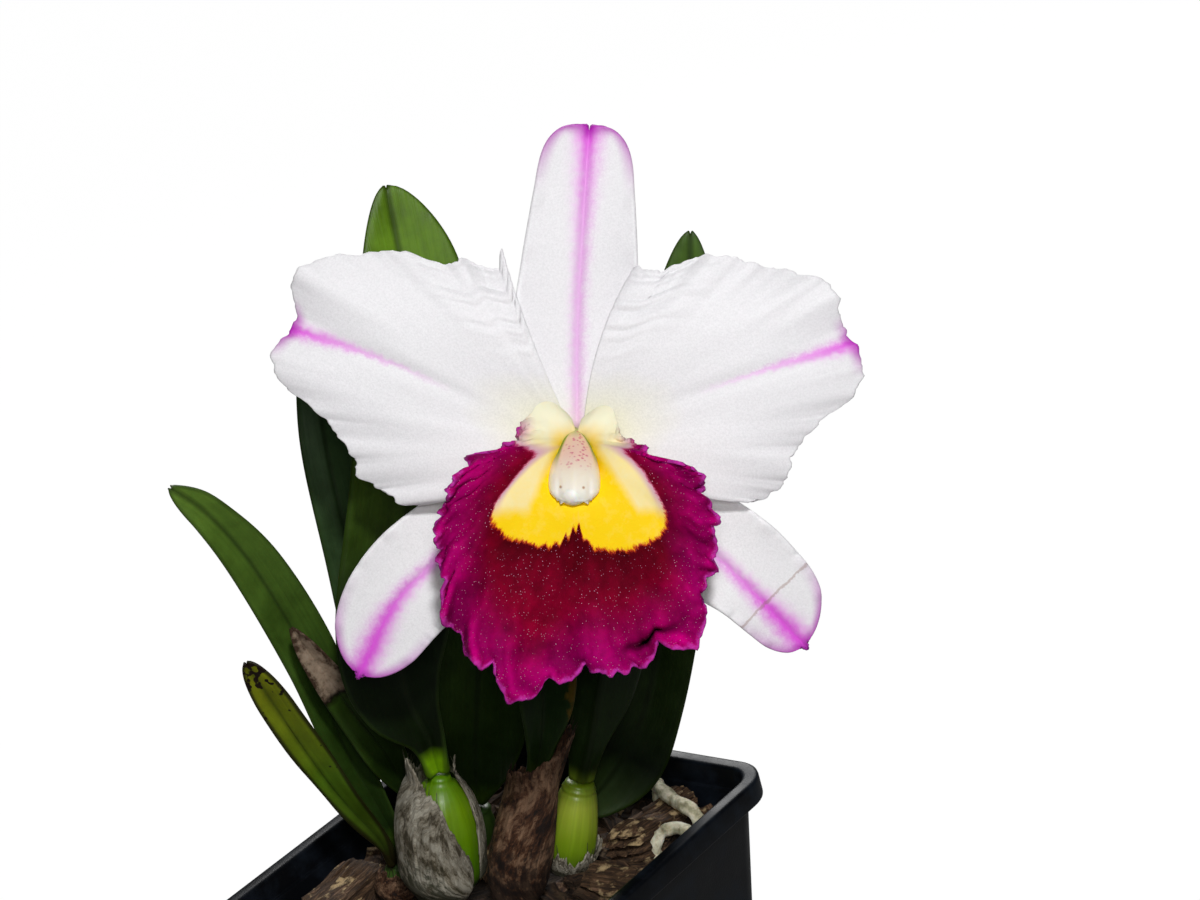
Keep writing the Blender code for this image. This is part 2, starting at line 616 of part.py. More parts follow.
def petal_point(name, s, c):
    """A point of a petal: s runs from its foot to its edge, c across it."""
    start, step, reach = PETALS[name]
    angle = math.radians(start + step * (len(reach) - 1) * c)
    way = Vector((math.cos(angle), 0.0, math.sin(angle)))
    foot = RECEPTACLE_AT + way * WHORL_RADIUS
    edge = way * between(reach, c)
    ruffle = 1.3 * s ** 3 * math.sin(c * 34.0 + 1.0)
    depth = 0.9 - 3.4 * math.sin(math.pi * 0.62 * s) + 1.6 * s ** 3 + ruffle
    depth += 1.4 * s * abs(2 * c - 1) ** 2
    bulge = PETAL_BULGE * 4.0 * s * (1.0 - s) * (2 * c - 1) ** 3
    swell = Vector((-way.z * bulge, depth, way.x * bulge))
    return foot.lerp(edge, s) + swell


def build_petals(part, frame):
    for name in PETALS:
        rows = []
        for i in range(PETAL_ROWS + 1):
            s = 1.0 - (1.0 - i / PETAL_ROWS) ** 1.15
            row = [petal_point(name, s, j / PETAL_COLUMNS) for j in range(PETAL_COLUMNS + 1)]
            rows.append(list(reversed(row)))
        petal = grid_sheet(name, rows, PETAL_THICKNESS, part, WHITE, 0.5)
        petal.parent = frame


# Reach of the lip's edge from its middle at even angles, from its upper left round the bottom
LIP_REACH = (8.6, 13.4, 13.0, 12.7, 14.6, 17.4, 20.8, 23.4, 26.2, 29.8, 33.6, 36.6, 32.6, 31.8,
             31.6, 31.0, 27.4, 24.4, 22.0, 19.4, 15.0, 11.4, 10.6, 12.4, 8.6)
LIP_SPAN = math.radians(175.0)
LIP_MIDDLE = Vector((0.0, 0.0, -9.0))
THROAT_DEPTH = 12.0
THROAT_EASE = 6.0
LIP_FRILLS = 11
LIP_ROWS = 7
LIP_COLUMNS = 44


def lip_point(s, c):
    """A point of the lip: s from its claw round the column to its frilled edge, c from left to right."""
    angle = (2.0 * c - 1.0) * LIP_SPAN
    way = Vector((math.sin(angle), 0.0, -math.cos(angle)))
    foot = RECEPTACLE_AT + way * WHORL_RADIUS
    frill = s ** 3 * math.sin(c * LIP_FRILLS * 2 * math.pi)
    edge = LIP_MIDDLE + way * (between(LIP_REACH, c) + 1.1 * frill)
    point = foot.lerp(edge, s)
    run = (edge - foot).length * s
    depth = -0.5 - THROAT_DEPTH * (1.0 - math.exp(-run / THROAT_EASE))
    depth += 1.5 * frill - 1.8 * s ** 3 * max(0.0, math.cos(angle))
    return point + Vector((0.0, depth, 0.0))


def build_lip(part, frame):
    rows = []
    for i in range(LIP_ROWS + 1):
        s = i / LIP_ROWS
        rows.append([lip_point(s, j / LIP_COLUMNS) for j in range(LIP_COLUMNS + 1)])
    lip = grid_sheet("lip", list(reversed(rows)), PETAL_THICKNESS, part, CRIMSON, 0.5)
    lip.parent = frame


def build_column(part, frame):
    """The column: a stout club that leans forward over the lip, with the anther cap at its tip."""
    path = ((-0.2, -2.1, -3.1), (-0.3, -5.0, -4.0), (-0.4, -9.0, -5.8), (-0.4, -12.6, -7.7),
            (-0.4, -15.0, -9.5))
    radii = (1.9, 2.3, 2.9, 3.6, 4.0, 4.0, 3.3)
    points = along(path, len(radii))
    column = tube("column", points, radii, part, CREAM, 0.4, sides=3)
    column.parent = frame
    end = points[-1]
    ahead = (points[-1] - points[-2]).normalized()
    cap_points = [end + ahead * (CLEARANCE + d) for d in (0.0, 0.7, 1.3, 1.6)]
    cap = tube("anther_cap", cap_points, (3.0, 2.7, 1.9, 0.9), part, WHITE, 0.4)
    cap.parent = frame


def flower_matrix():
    turn = Matrix.Rotation(-FLOWER_NOD, 4, "X") @ Matrix.Rotation(FLOWER_LEAN, 4, "Y")
    return Matrix.Translation(FLOWER_AT * MM) @ turn


def build_stalk(part):
    """Flower stalk that swells into the ovary and ends in the disc that carries the flower."""
    place = flower_matrix()
    levels = (9.0, 6.0, 4.3, 4.2, -1.2)
    into = [place @ ((RECEPTACLE_AT + Vector((0.0, y, 0.0))) * MM) / MM for y in levels]
    path = [(21.1, -1.1, 85.0), (23.4, 1.4, 92.0), (25.8, 2.6, 100.0), (26.4, 1.5, 109.0),
            (28.0, -3.0, 120.0), (32.0, -7.4, 136.0)]
    points = along([Vector(p) for p in path] + into[:1], 10) + into[1:]
    radii = [1.1, 1.2, 1.3, 1.3, 1.4, 1.5, 1.8, 2.1, 2.4, 2.6, 4.2, 4.2, 2.6, 2.6]
    return tube("flower_stalk", points, radii, part, GREEN, 0.4)


# The creeping stem passes under the foot of every pseudobulb in turn
RHIZOME = ((-22.0, 4.6), (-18.5, 4.0), (-9.5, 9.5), (-1.4, 14.0), (8.4, 13.4), (16.4, 8.0),
           (13.8, -3.0), (2.8, -12.0), (-9.2, -5.0), (-12.6, -2.6))
ROOTS = {
    "root_1": (((34.0, 12.0, 66.0), (34.2, 11.6, 71.0), (34.6, 8.4, 72.2), (36.6, 3.6, 71.4),
                (39.4, -1.4, 71.0), (40.6, -3.6, 66.5)), 1.3),
    "root_2": (((31.0, -6.4, 64.0), (31.2, -6.0, 68.4), (32.8, -5.0, 70.2), (35.4, -5.4, 70.8),
                (37.8, -7.8, 70.2), (38.0, -8.4, 66.0)), 1.2),
    "root_3": (((-6.0, -13.5, 62.0), (-5.0, -13.0, 67.2), (-2.0, -16.5, 68.2), (1.0, -21.0, 67.6),
                (2.0, -24.0, 63.0)), 1.1),
}


def ground_paths():
    """Centre lines and radii of what lies in the mix: the rhizome and the roots."""
    paths = []
    chain = [Vector((x, y, RHIZOME_Z)) for x, y in RHIZOME]
    paths.append(("rhizome", chain, [RHIZOME_RADIUS] * len(chain)))
    for name, (points, radius) in ROOTS.items():
        line = along(points, 13)
        knobs = [radius * (1.0 + 0.14 * math.sin(i * 2.3)) for i in range(13)]
        paths.append((name, line, knobs))
    return paths


def main():
    clear_scene()
    part = new_collection("potted_cattleya_orchid")
    cutters = new_collection("cutters")
    paths = ground_paths()
    build_pot(part, cutters)
    build_mix(part, paths)
    for name, points, radii in paths:
        colour = ROOT_CREAM if name.startswith("root") else BROWN_SHEATH
        tube(name, points, radii, part, colour, 0.7)
    colours = {"pseudobulb_a": LIME, "pseudobulb_c": YELLOW_GREEN}
    for name in BULBS:
        build_bulb(name, part, colours.get(name, GREEN))
    for name in SHEATHS:
        build_sheath(name, part)
    build_leaves(part)
    frame = bpy.data.objects.new("flower_frame", None)
    part.objects.link(frame)
    frame.matrix_world = flower_matrix()
    bpy.context.view_layer.update()
    build_sepals(part, frame)
    build_petals(part, frame)
    build_lip(part, frame)
    build_column(part, frame)
    build_stalk(part)


main()
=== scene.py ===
"""Looks of a potted cattleya orchid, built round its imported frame.

Forms are worked out in millimetres, in the frame's own axes, and become metres as a mesh is made.
The flower is formed in its own axes first: x to the viewer's right, y away from the viewer, z up.
"""

import json
import math

import bmesh
import bpy
import numpy as np
from bpy.props import FloatProperty, FloatVectorProperty, IntProperty, PointerProperty
from mathutils import Matrix, Vector

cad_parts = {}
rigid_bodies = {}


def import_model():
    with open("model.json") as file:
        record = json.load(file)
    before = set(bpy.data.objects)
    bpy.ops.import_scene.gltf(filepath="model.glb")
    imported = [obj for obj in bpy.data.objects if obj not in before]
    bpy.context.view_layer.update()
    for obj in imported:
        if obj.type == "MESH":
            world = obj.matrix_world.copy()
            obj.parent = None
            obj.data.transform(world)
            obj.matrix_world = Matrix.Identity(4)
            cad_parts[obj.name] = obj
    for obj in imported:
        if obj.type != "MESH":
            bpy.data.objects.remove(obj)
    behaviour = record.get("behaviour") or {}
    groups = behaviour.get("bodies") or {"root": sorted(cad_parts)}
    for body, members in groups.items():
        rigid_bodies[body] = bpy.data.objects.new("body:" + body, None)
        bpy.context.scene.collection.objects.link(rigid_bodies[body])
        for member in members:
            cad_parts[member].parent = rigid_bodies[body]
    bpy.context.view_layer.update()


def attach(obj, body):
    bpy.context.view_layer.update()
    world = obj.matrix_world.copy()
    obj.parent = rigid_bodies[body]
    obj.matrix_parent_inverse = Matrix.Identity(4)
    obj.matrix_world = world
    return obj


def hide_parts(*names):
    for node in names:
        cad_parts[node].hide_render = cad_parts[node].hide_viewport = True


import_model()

bl_info = {
    "name": "Potted cattleya orchid",
    "version": (1, 0, 0),
    "blender": (4, 5, 0),
    "location": "3D View > Sidebar > Orchid",
    "description": "Builds the leaves, bulbs, flower, bark and pot of a potted cattleya orchid",
    "category": "Add Mesh",
}

MM = 0.001

# Pot and mix
POT_HEIGHT = 75.0
POT_BASE_HALF = 27.0
POT_TAPER = math.radians(8.0)
POT_WALL = 1.1
RIM_HALF = 39.6
RIM_DEPTH = 4.6
RIM_INNER_HALF = 36.6
LEDGE_Z = 70.4
CORNER_RADIUS = 6.0
DRAIN_RADIUS = 3.5
DRAIN_OFFSET = 15.0
POT_FLOOR = 1.4
MIX_TOP = 66.0
MIX_GAP = 0.35
# Middle, size and turn in degrees of each large chip
BIG_CHIPS = (
    ((30.5, 1.0, 67.2), (17.0, 9.0, 7.5), 52),
    ((35.0, 7.0, 67.4), (9.0, 6.0, 6.0), 20),
    ((22.5, -14.5, 67.2), (10.0, 8.0, 6.5), -30),
    ((-28.5, 8.5, 67.0), (14.0, 11.0, 8.5), 40),
    ((-21.0, -9.5, 66.5), (11.0, 8.5, 7.5), -25),
    ((-2.0, -22.0, 66.4), (12.0, 8.0, 7.0), 15),
)

# Share of a pseudobulb's greatest radius at even heights from its foot to its apex
EGG = (0.36, 0.62, 0.95, 1.0, 0.98, 0.88, 0.66, 0.28)
BOTTLE = (0.45, 0.78, 0.97, 1.0, 0.93, 0.82, 0.7, 0.62)
CLUB = (0.45, 0.8, 0.98, 1.0, 0.96, 0.88, 0.74, 0.55)
RHIZOME_RADIUS = 2.4
RHIZOME_Z = 63.2
# Foot, apex, greatest radius and form of each pseudobulb
BULBS = {
    "pseudobulb_a": ((-9.2, -5.0), (-2.9, -5.0, 94.2), 7.3, EGG),
    "pseudobulb_b": ((2.8, -12.0), (13.5, -12.0, 91.5), 4.5, BOTTLE),
    "pseudobulb_c": ((13.8, -3.0), (21.1, -3.0, 84.2), 4.8, CLUB),
    "pseudobulb_d": ((16.4, 8.0), (18.0, 8.0, 71.4), 3.3, BOTTLE),
    "pseudobulb_e": ((-9.5, 9.5), (-8.0, 9.0, 84.0), 3.8, BOTTLE),
    "pseudobulb_f": ((-18.5, 4.0), (-15.6, 3.4, 75.0), 3.4, BOTTLE),
    "pseudobulb_g": ((-1.4, 14.0), (0.5, 14.0, 76.0), 3.4, BOTTLE),
}
# Bulb, first angle and sweep in degrees, foot, torn tops across it, stand off up it, tear depth
SHEATHS = {
    "sheath_a": ("pseudobulb_a", 100, 208, 0.03, (0.92, 1.0, 1.08, 1.14, 1.0, 0.82, 0.42),
                 (0.8, 1.0, 1.3, 2.2, 3.7), 0.02),
    "sheath_a_strip": ("pseudobulb_a", -34, 52, 0.3, (0.56, 0.94, 1.04, 0.98),
                       (0.45, 0.5, 0.55, 0.6, 0.7), 0.05),
    "sheath_b": ("pseudobulb_b", 95, 345, 0.03, (1.0, 1.0, 1.05, 1.13, 1.25, 1.38, 1.36, 1.1),
                 (0.85, 1.1, 1.3, 1.6, 1.8), 0.012),
    "sheath_c": ("pseudobulb_c", 190, 190, 0.03, (0.4, 0.3, 0.22, 0.3, 0.26, 0.42),
                 (0.8, 0.85, 0.9, 1.1, 1.3), 0.05),
    "sheath_e": ("pseudobulb_e", 130, 240, 0.03, (0.7, 0.86, 0.66, 0.82),
                 (0.85, 0.9, 0.9, 1.0, 1.2), 0.05),
    "sheath_f": ("pseudobulb_f", 150, 230, 0.03, (0.6, 0.8, 0.7, 0.5),
                 (0.85, 0.9, 0.9, 1.0, 1.2), 0.05),
}
SHEATH_FLARE = 0.12
# Where the rhizome runs, seen from above
RHIZOME = ((-22.0, 4.6), (-18.5, 4.0), (-9.5, 9.5), (-1.4, 14.0), (8.4, 13.4), (16.4, 8.0),
           (13.8, -3.0), (2.8, -12.0), (-9.2, -5.0), (-12.6, -2.6))
# Path and radius of each root
ROOTS = {
    "root_1": (((34.0, 12.0, 66.0), (34.2, 11.6, 71.0), (34.6, 8.4, 72.2), (36.6, 3.6, 71.4),
                (39.4, -1.4, 71.0), (40.6, -3.6, 66.5)), 1.3),
    "root_2": (((31.0, -6.4, 64.0), (31.2, -6.0, 68.4), (32.8, -5.0, 70.2), (35.4, -5.4, 70.8),
                (37.8, -7.8, 70.2), (38.0, -8.4, 66.0)), 1.2),
    "root_3": (((-6.0, -13.5, 62.0), (-5.0, -13.0, 67.2), (-2.0, -16.5, 68.2), (1.0, -21.0, 67.6),
                (2.0, -24.0, 63.0)), 1.1),
}
# The stalk up to the receptacle, and its radii from its foot to there
STALK = ((21.1, -1.1, 85.0), (23.4, 1.4, 92.0), (25.8, 2.6, 100.0), (26.4, 1.5, 109.0),
         (28.0, -3.0, 120.0), (32.0, -7.4, 136.0))
STALK_RADII = (1.1, 1.2, 1.3, 1.3, 1.4, 1.5, 1.8, 2.1, 2.4, 2.6)
# How far behind RECEPTACLE_AT its levels lie, and the radii of the last four
RECEPTACLE_LEVELS = (9.0, 6.0, 4.3, 4.2, 0.4)
RECEPTACLE_RADII = (4.2, 4.2, 2.2, 2.2)

# Path, left and right half widths, facing at foot and tip, and fold in degrees of each leaf
LEAVES = {
    "leaf_a": (
        ((-2.9, -5.0, 94.8), (-2.7, -5.6, 102.0), (-4.0, -6.0, 112.0), (-2.6, -5.0, 124.0),
         (6.8, -1.0, 148.0), (14.6, 5.0, 175.0), (17.2, 10.0, 198.1)),
        (2.6, 4.6, 10.0, 11.4, 11.0, 9.0, 5.0), (2.6, 3.6, 6.5, 9.5, 12.0, 11.0, 8.0),
        ((0.0, -1.0, 0.1), (0.3, -1.0, 0.3)), (46, 40, 28, 18, 14, 12, 10)),
    "leaf_b": (
        ((-8.0, 9.4, 84.6), (-8.6, 9.6, 98.0), (-8.8, 10.5, 112.0), (-8.0, 13.0, 132.0),
         (-6.6, 17.0, 154.0), (-3.6, 21.0, 172.0)),
        (1.6, 4.0, 5.4, 5.2, 4.6, 3.6), (1.6, 4.2, 6.0, 6.5, 6.5, 5.0),
        ((-0.2, -1.0, 0.1), (-0.3, -1.0, 0.2)), (55, 30, 22, 18, 16, 14)),
    "leaf_c": (
        ((-15.0, 4.6, 75.4), (-16.4, 5.4, 84.0), (-19.4, 7.0, 98.0), (-20.8, 8.0, 117.0),
         (-24.6, 7.0, 137.0), (-29.0, 5.0, 150.0), (-33.8, 3.0, 158.0)),
        (1.3, 2.9, 4.7, 5.5, 5.0, 3.8, 2.2), (1.3, 3.0, 5.0, 6.4, 5.8, 3.8, 2.0),
        ((0.3, -1.0, 0.0), (0.2, -1.0, 0.35)), (60, 52, 42, 34, 28, 24, 16)),
    "leaf_d": (
        ((-16.6, 1.9, 75.6), (-17.8, 0.6, 82.0), (-21.6, -1.4, 93.0), (-24.8, -4.0, 106.0),
         (-29.2, -7.6, 126.6)),
        (1.1, 1.9, 2.5, 3.0, 3.1), (1.1, 2.5, 4.0, 4.4, 3.9),
        ((0.1, -1.0, 0.0), (-0.1, -1.0, 0.3)), (60, 44, 34, 28, 20)),
    "leaf_e": (
        ((-9.4, 6.9, 84.4), (-11.0, 4.2, 91.0), (-12.4, 2.4, 99.0), (-15.2, 1.2, 108.0),
         (-18.0, 0.4, 118.0), (-20.9, 0.0, 127.4)),
        (1.2, 3.2, 4.4, 4.0, 3.5, 2.2), (1.2, 3.4, 4.6, 4.2, 3.5, 2.2),
        ((0.1, -1.0, 0.0), (0.1, -1.0, 0.3)), (60, 42, 34, 34, 40, 50)),
    "leaf_f": (
        ((13.6, -12.0, 91.9), (16.3, -12.2, 97.6), (19.0, -11.4, 105.6), (21.0, -8.8, 116.0),
         (21.8, -5.0, 129.0), (23.4, -2.0, 143.0)),
        (1.6, 2.9, 4.6, 6.0, 6.4, 5.0), (1.6, 3.1, 6.0, 6.8, 5.8, 4.6),
        ((0.0, -1.0, 0.1), (0.1, -1.0, 0.3)), (56, 36, 26, 20, 16, 12)),
    "leaf_g": (
        ((21.2, -4.7, 84.7), (24.6, -5.0, 91.6), (29.0, -3.4, 101.0), (37.6, 0.0, 119.0),
         (47.6, 4.6, 140.4), (55.3, 8.0, 158.6)),
        (2.2, 3.3, 7.0, 8.0, 7.6, 5.0), (2.2, 4.0, 4.6, 4.2, 5.4, 5.0),
        ((0.0, 1.0, -0.1), (0.1, 1.0, -0.3)), (22, 22, 20, 18, 16, 12)),
    "leaf_h": (
        ((18.4, 8.0, 72.4), (22.8, 7.8, 75.0), (29.4, 8.2, 80.6), (36.6, 9.4, 90.0),
         (44.4, 12.4, 106.5), (54.2, 15.6, 131.0), (61.6, 18.4, 154.0), (66.8, 20.4, 172.6)),
        (1.5, 6.2, 13.0, 17.0, 14.6, 10.6, 7.6, 4.4), (1.5, 5.2, 8.2, 7.2, 7.2, 6.6, 5.6, 3.6),
        ((-0.1, -1.0, 0.2), (0.0, -1.0, 0.3)), (55, 26, 18, 15, 14, 12, 10, 8)),
    "leaf_i": (
        ((0.6, 14.0, 76.4), (2.0, 14.4, 84.0), (5.0, 15.2, 94.0), (11.0, 17.0, 112.0),
         (18.0, 20.0, 132.0), (22.0, 22.0, 145.0)),
        (1.5, 5.4, 8.4, 9.4, 8.6, 6.0), (1.5, 7.6, 10.4, 11.0, 9.6, 6.0),
        ((0.0, -1.0, 0.1), (0.1, -1.0, 0.3)), (50, 26, 18, 14, 12, 10)),
}

# The flower
FLOWER_AT = (38.1, -22.0, 158.0)
FLOWER_NOD = math.radians(20.7)
FLOWER_LEAN = math.radians(15.4)
RECEPTACLE_AT = np.array((0.0, 0.0, -3.0))
WHORL_RADIUS = 3.3
SEPAL_FACING = ((0.0, -1.0, 0.0), (0.0, -1.0, 0.0))
SEPAL_FOLD = (8, 10, 8, 4)
# Path, and left and right half widths, of each sepal
SEPALS = {
    "dorsal_sepal": (
        ((0.0, 2.4, -1.4), (0.0, 3.3, 3.0), (0.1, 3.6, 17.0), (1.0, 4.2, 34.0),
         (2.1, 6.0, 50.7)),
        (2.6, 4.4, 8.2, 10.6, 9.9, 8.6, 7.4), (2.6, 4.4, 8.0, 10.3, 9.6, 8.4, 7.0)),
    "lateral_sepal_left": (
        ((-2.4, 3.3, -5.4), (-12.5, 4.3, -13.0), (-24.0, 5.2, -23.0), (-31.0, 6.2, -30.5),
         (-36.9, 8.4, -42.0)),
        (1.7, 5.2, 8.0, 9.2, 9.2, 8.2, 5.4), (1.7, 5.2, 8.0, 9.4, 9.2, 8.2, 5.4)),
    "lateral_sepal_right": (
        ((2.4, 3.3, -5.4), (12.5, 4.3, -12.8), (24.0, 5.2, -22.6), (31.0, 6.2, -29.5),
         (38.4, 8.4, -37.2)),
        (1.7, 5.4, 8.4, 10.0, 10.2, 9.4, 5.6), (1.7, 5.0, 7.2, 7.6, 6.2, 5.4, 4.4)),
}
# First angle, sweep, reach of the edge, the stripe's angle at its foot and tip and how far it
# dips between them, and how far the first and the last side bulge
PETALS = {
    "petal_left": (113.0, 95.5, (31.9, 29.2, 31.2, 33.6, 34.2, 38.2, 42.4, 45.2, 48.8, 51.9, 53.2,
                                 50.8, 50.0, 51.4, 51.6, 48.6, 43.4, 40.8, 38.8, 37.3, 37.6, 35.0,
                                 33.4, 31.5, 26.5), (162.4, 161.6, 2.4), (-0.7, 1.7)),
    "petal_right": (-26.0, 96.0, (29.0, 33.1, 34.9, 35.9, 36.2, 36.7, 38.6, 41.6, 46.0, 48.2, 48.4,
                                  47.6, 47.3, 48.0, 47.8, 44.8, 42.3, 40.0, 38.4, 36.9, 34.6, 31.2,
                                  29.0, 28.3, 28.1), (21.5, 16.2, 0.0), (1.7, 1.7)),
}
# Reach of the lip's edge round its middle, from the top down its left side and up its right
LIP_REACH = (9.6, 11.7, 13.4, 13.8, 13.2, 12.8, 12.4, 11.9, 13.0, 14.3, 17.1, 19.1, 20.4, 22.0,
             23.8, 24.8, 26.4, 28.6, 30.4, 32.2, 34.2, 35.2, 36.9, 33.8, 32.1, 31.3, 32.4, 32.2,
             31.8, 32.6, 31.0, 27.4, 26.4, 25.0, 24.4, 22.6, 20.0, 19.4, 15.2, 12.6, 11.3, 10.8,
             10.5, 10.6, 11.6, 12.9, 12.7, 11.2, 9.7)
LIP_SPAN = math.radians(175.0)
LIP_MIDDLE = np.array((0.0, 0.0, -9.0))
# Angle, width and depth of the larger nicks in the lip's edge
LIP_NICKS = ((-8.0, 2.4, 3.0), (-24.5, 1.4, 1.8), (-36.0, 2.2, 2.2), (2.6, 1.3, 1.4),
             (17.0, 1.2, 1.3), (36.0, 1.8, -1.2), (47.5, 2.2, 2.4), (60.0, 1.4, 1.4),
             (71.0, 1.4, 1.0), (-52.0, 1.4, 1.5), (-62.0, 1.4, 1.3), (-75.0, 1.6, 1.6),
             (-96.0, 1.5, 1.2), (-111.0, 1.8, 1.6), (83.5, 1.8, 1.7), (92.0, 1.3, -1.0),
             (27.0, 1.2, 1.2), (10.0, 1.2, -1.2), (-17.0, 1.6, -0.9), (-43.0, 1.6, -0.9))
THROAT_DEPTH = 12.0
THROAT_EASE = 2.6
# Angle, width and length of the crimson rays that run up into the throat
THROAT_RAYS = ((-2.2, 1.9, 2.6), (2.2, 1.9, 3.0), (-7.4, 2.0, 1.7), (7.2, 1.8, 1.1),
               (-13.0, 2.2, 1.1), (-19.0, 1.6, 0.5), (0.0, 9.0, 0.6))
# Reach of the yellow throat round the same middle
THROAT_REACH = (16.0, 16.0, 14.6, 12.4, 11.4, 9.6, 7.9, 9.7, 14.8, 14.5, 12.8, 11.6, 10.6, 11.8,
                13.8, 15.6, 16.1, 12.2, 9.8, 9.0, 10.8, 11.4, 13.8, 16.0, 16.0)

# The camera that was fitted to the photograph: place in metres, angles in degrees, lens in mm
CAMERA_AT = (0.0407, -0.4282, 0.3058)
CAMERA_PITCH = 20.66
CAMERA_ROLL = -15.42
CAMERA_LENS = 78.0


def linear(hex_colour):
    """Linear colour of an sRGB hex value."""
    parts = [int(hex_colour[i:i + 2], 16) / 255 for i in (1, 3, 5)]
    return tuple(c / 12.92 if c <= 0.04045 else ((c + 0.055) / 1.055) ** 2.4 for c in parts)


def shade(colour):
    """Linear colour with alpha of an sRGB hex value, or of a colour from the panel."""
    return (*(linear(colour) if isinstance(colour, str) else tuple(colour)[:3]), 1.0)


def fine(size):
    """Scale of a pattern on metres whose features are this many millimetres wide."""
    return 1000.0 / size


# Sizes and colours that a user would change

def colour_of(name, text, hex_colour):
    return FloatVectorProperty(
        name=name, description=text, subtype="COLOR", size=3, min=0.0, max=1.0,
        default=linear(hex_colour))


class OrchidPot(bpy.types.PropertyGroup):
    plastic: colour_of("Plastic", "Colour of the pot", "#07090D")
    bark: colour_of("Bark", "Colour of the outer bark of a chip", "#42301F")
    cork: colour_of("Cork", "Colour of a broken edge of bark", "#A08A66")
    chip_gap: FloatProperty(
        name="Chip gap", description="Least distance between the middles of loose chips",
        default=0.0040, min=0.0015, unit="LENGTH")
    chip_length: FloatProperty(
        name="Chip length", description="Length of the longest loose chips",
        default=0.0098, min=0.002, unit="LENGTH")
    chip_seed: IntProperty(name="Chip seed", description="Lays the chips out anew", default=7)


class OrchidPlant(bpy.types.PropertyGroup):
    leaf: colour_of("Leaf", "Colour of a leaf in full growth", "#587628")
    leaf_dark: colour_of("Old leaf", "Colour of an older leaf", "#43601E")
    lime: colour_of("New growth", "Colour of the youngest pseudobulb and petiole", "#527E02")
    papery: colour_of("Dry sheath", "Colour of a weathered sheath", "#B2AC9C")
    brown: colour_of("Brown sheath", "Colour of a fresh dry sheath", "#84664E")
    ripple: FloatProperty(
        name="Leaf ripple", description="Height of the slow waves in a leaf's margin",
        default=0.0005, min=0.0, unit="LENGTH")


class OrchidFlower(bpy.types.PropertyGroup):
    white: colour_of("White", "Colour of sepals and petals", "#F3F1F4")
    stripe: colour_of("Stripe", "Colour of the stripe in sepals and petals", "#E656E2")
    crimson: colour_of("Crimson", "Colour of the lip's blade", "#8C002A")
    gold: colour_of("Gold", "Colour of the throat", "#FFD516")
    ruffle: FloatProperty(
        name="Petal ruffle", description="Height of the waves along a petal's edge",
        default=0.0013, min=0.0, unit="LENGTH")
    frill: FloatProperty(
        name="Lip frill", description="Height of the waves along the lip's edge",
        default=0.0015, min=0.0, unit="LENGTH")


class OrchidStage(bpy.types.PropertyGroup):
    floor: colour_of("Floor", "Colour of the floor", "#FFFFFF")
    key: FloatProperty(name="Key light", description="Strength of the main light", default=1.75,
                       unit="POWER")


# Nodes and meshes

def add(tree, kind, inputs=(), stops=(), **settings):
    """A node with its settings, a ramp's stops and its inputs. ShaderNode is left off its kind."""
    node = tree.nodes.new(kind if "Node" in kind else "ShaderNode" + kind)
    for name, value in settings.items():
        setattr(node, name, value)
    if stops:
        marks = node.color_ramp.elements
        while len(marks) < len(stops):
            marks.new(0.5)
        for mark, (place, colour) in zip(marks, stops):
            mark.position = place
            mark.color = shade(colour)
    feed(tree, node, inputs)
    return node


def feed(tree, node, inputs):
    """Sets or links a node's inputs, by name or in the order in which the node shows them.

    Each is a value, a colour, a node, or a node and the name of an output. A node alone gives its
    first output.
    """
    shown = [s for s in node.inputs if s.enabled]
    if isinstance(inputs, dict):
        inputs = [(next(s for s in shown if name in (s.identifier, s.name)), value)
                  for name, value in inputs.items()]
    else:
        inputs = zip(shown, inputs)
    for socket, value in inputs:
        source, wanted = value if isinstance(value, tuple) and len(value) == 2 else (value, None)
        if isinstance(source, bpy.types.Node):
            found = next(s for s in source.outputs
                         if s.enabled and wanted in (None, s.identifier, s.name))
            tree.links.new(found, socket)
        else:
            socket.default_value = shade(value) if socket.type == "RGBA" else value


def surface(name, **values):
    """A material of one Principled shader with these plain values, and its tree and shader."""
    material = bpy.data.materials.new(name)
    material.use_nodes = True
    tree = material.node_tree
    shader = tree.nodes["Principled BSDF"]
    for key, value in values.items():
        shader.inputs[key.replace("_", " ")].default_value = value
    return material, tree, shader


def between(values, t):
    """Smooth curve through evenly spaced values, read at every t from 0 to 1."""
    values = np.asarray(values, float)
    t = np.asarray(t, float)
    last = len(values) - 1
    place = np.clip(t, 0.0, 1.0) * last
    i = np.minimum(place.astype(int), last - 1)
    f = place - i
    if values.ndim > 1:
        f = f[..., None]
    a, b = values[i], values[i + 1]
    first = (i > 0)[..., None] if values.ndim > 1 else i > 0
    final = (i + 2 <= last)[..., None] if values.ndim > 1 else i + 2 <= last
    before = np.where(first, values[np.maximum(i - 1, 0)], 2 * a - b)
    after = np.where(final, values[np.minimum(i + 2, last)], 2 * b - a)
    slope_a, slope_b = (b - before) * 0.5, (after - a) * 0.5
    f2, f3 = f * f, f * f * f
    return (a * (2 * f3 - 3 * f2 + 1) + slope_a * (f3 - 2 * f2 + f)
            + b * (3 * f2 - 2 * f3) + slope_b * (f3 - f2))


def unit(v):
    return v / np.maximum(np.linalg.norm(v, axis=-1, keepdims=True), 1e-9)


def eased(low, high, x):
    """Rises smoothly from 0 at low to 1 at high."""
    t = np.clip((x - low) / (high - low), 0.0, 1.0)
    return t * t * (3 - 2 * t)


def uneven(t, waves, seed):
    """Seeded uneven waves between about -1 and 1 along t."""
    rng = np.random.default_rng(seed)
    total = 0.0
    for share, weight in ((0.53, 0.6), (1.0, 1.0), (1.61, 0.7), (2.73, 0.35)):
        total = total + weight * np.sin(2 * np.pi * waves * share * t + rng.uniform(0, 6.28))
    return total / 2.0


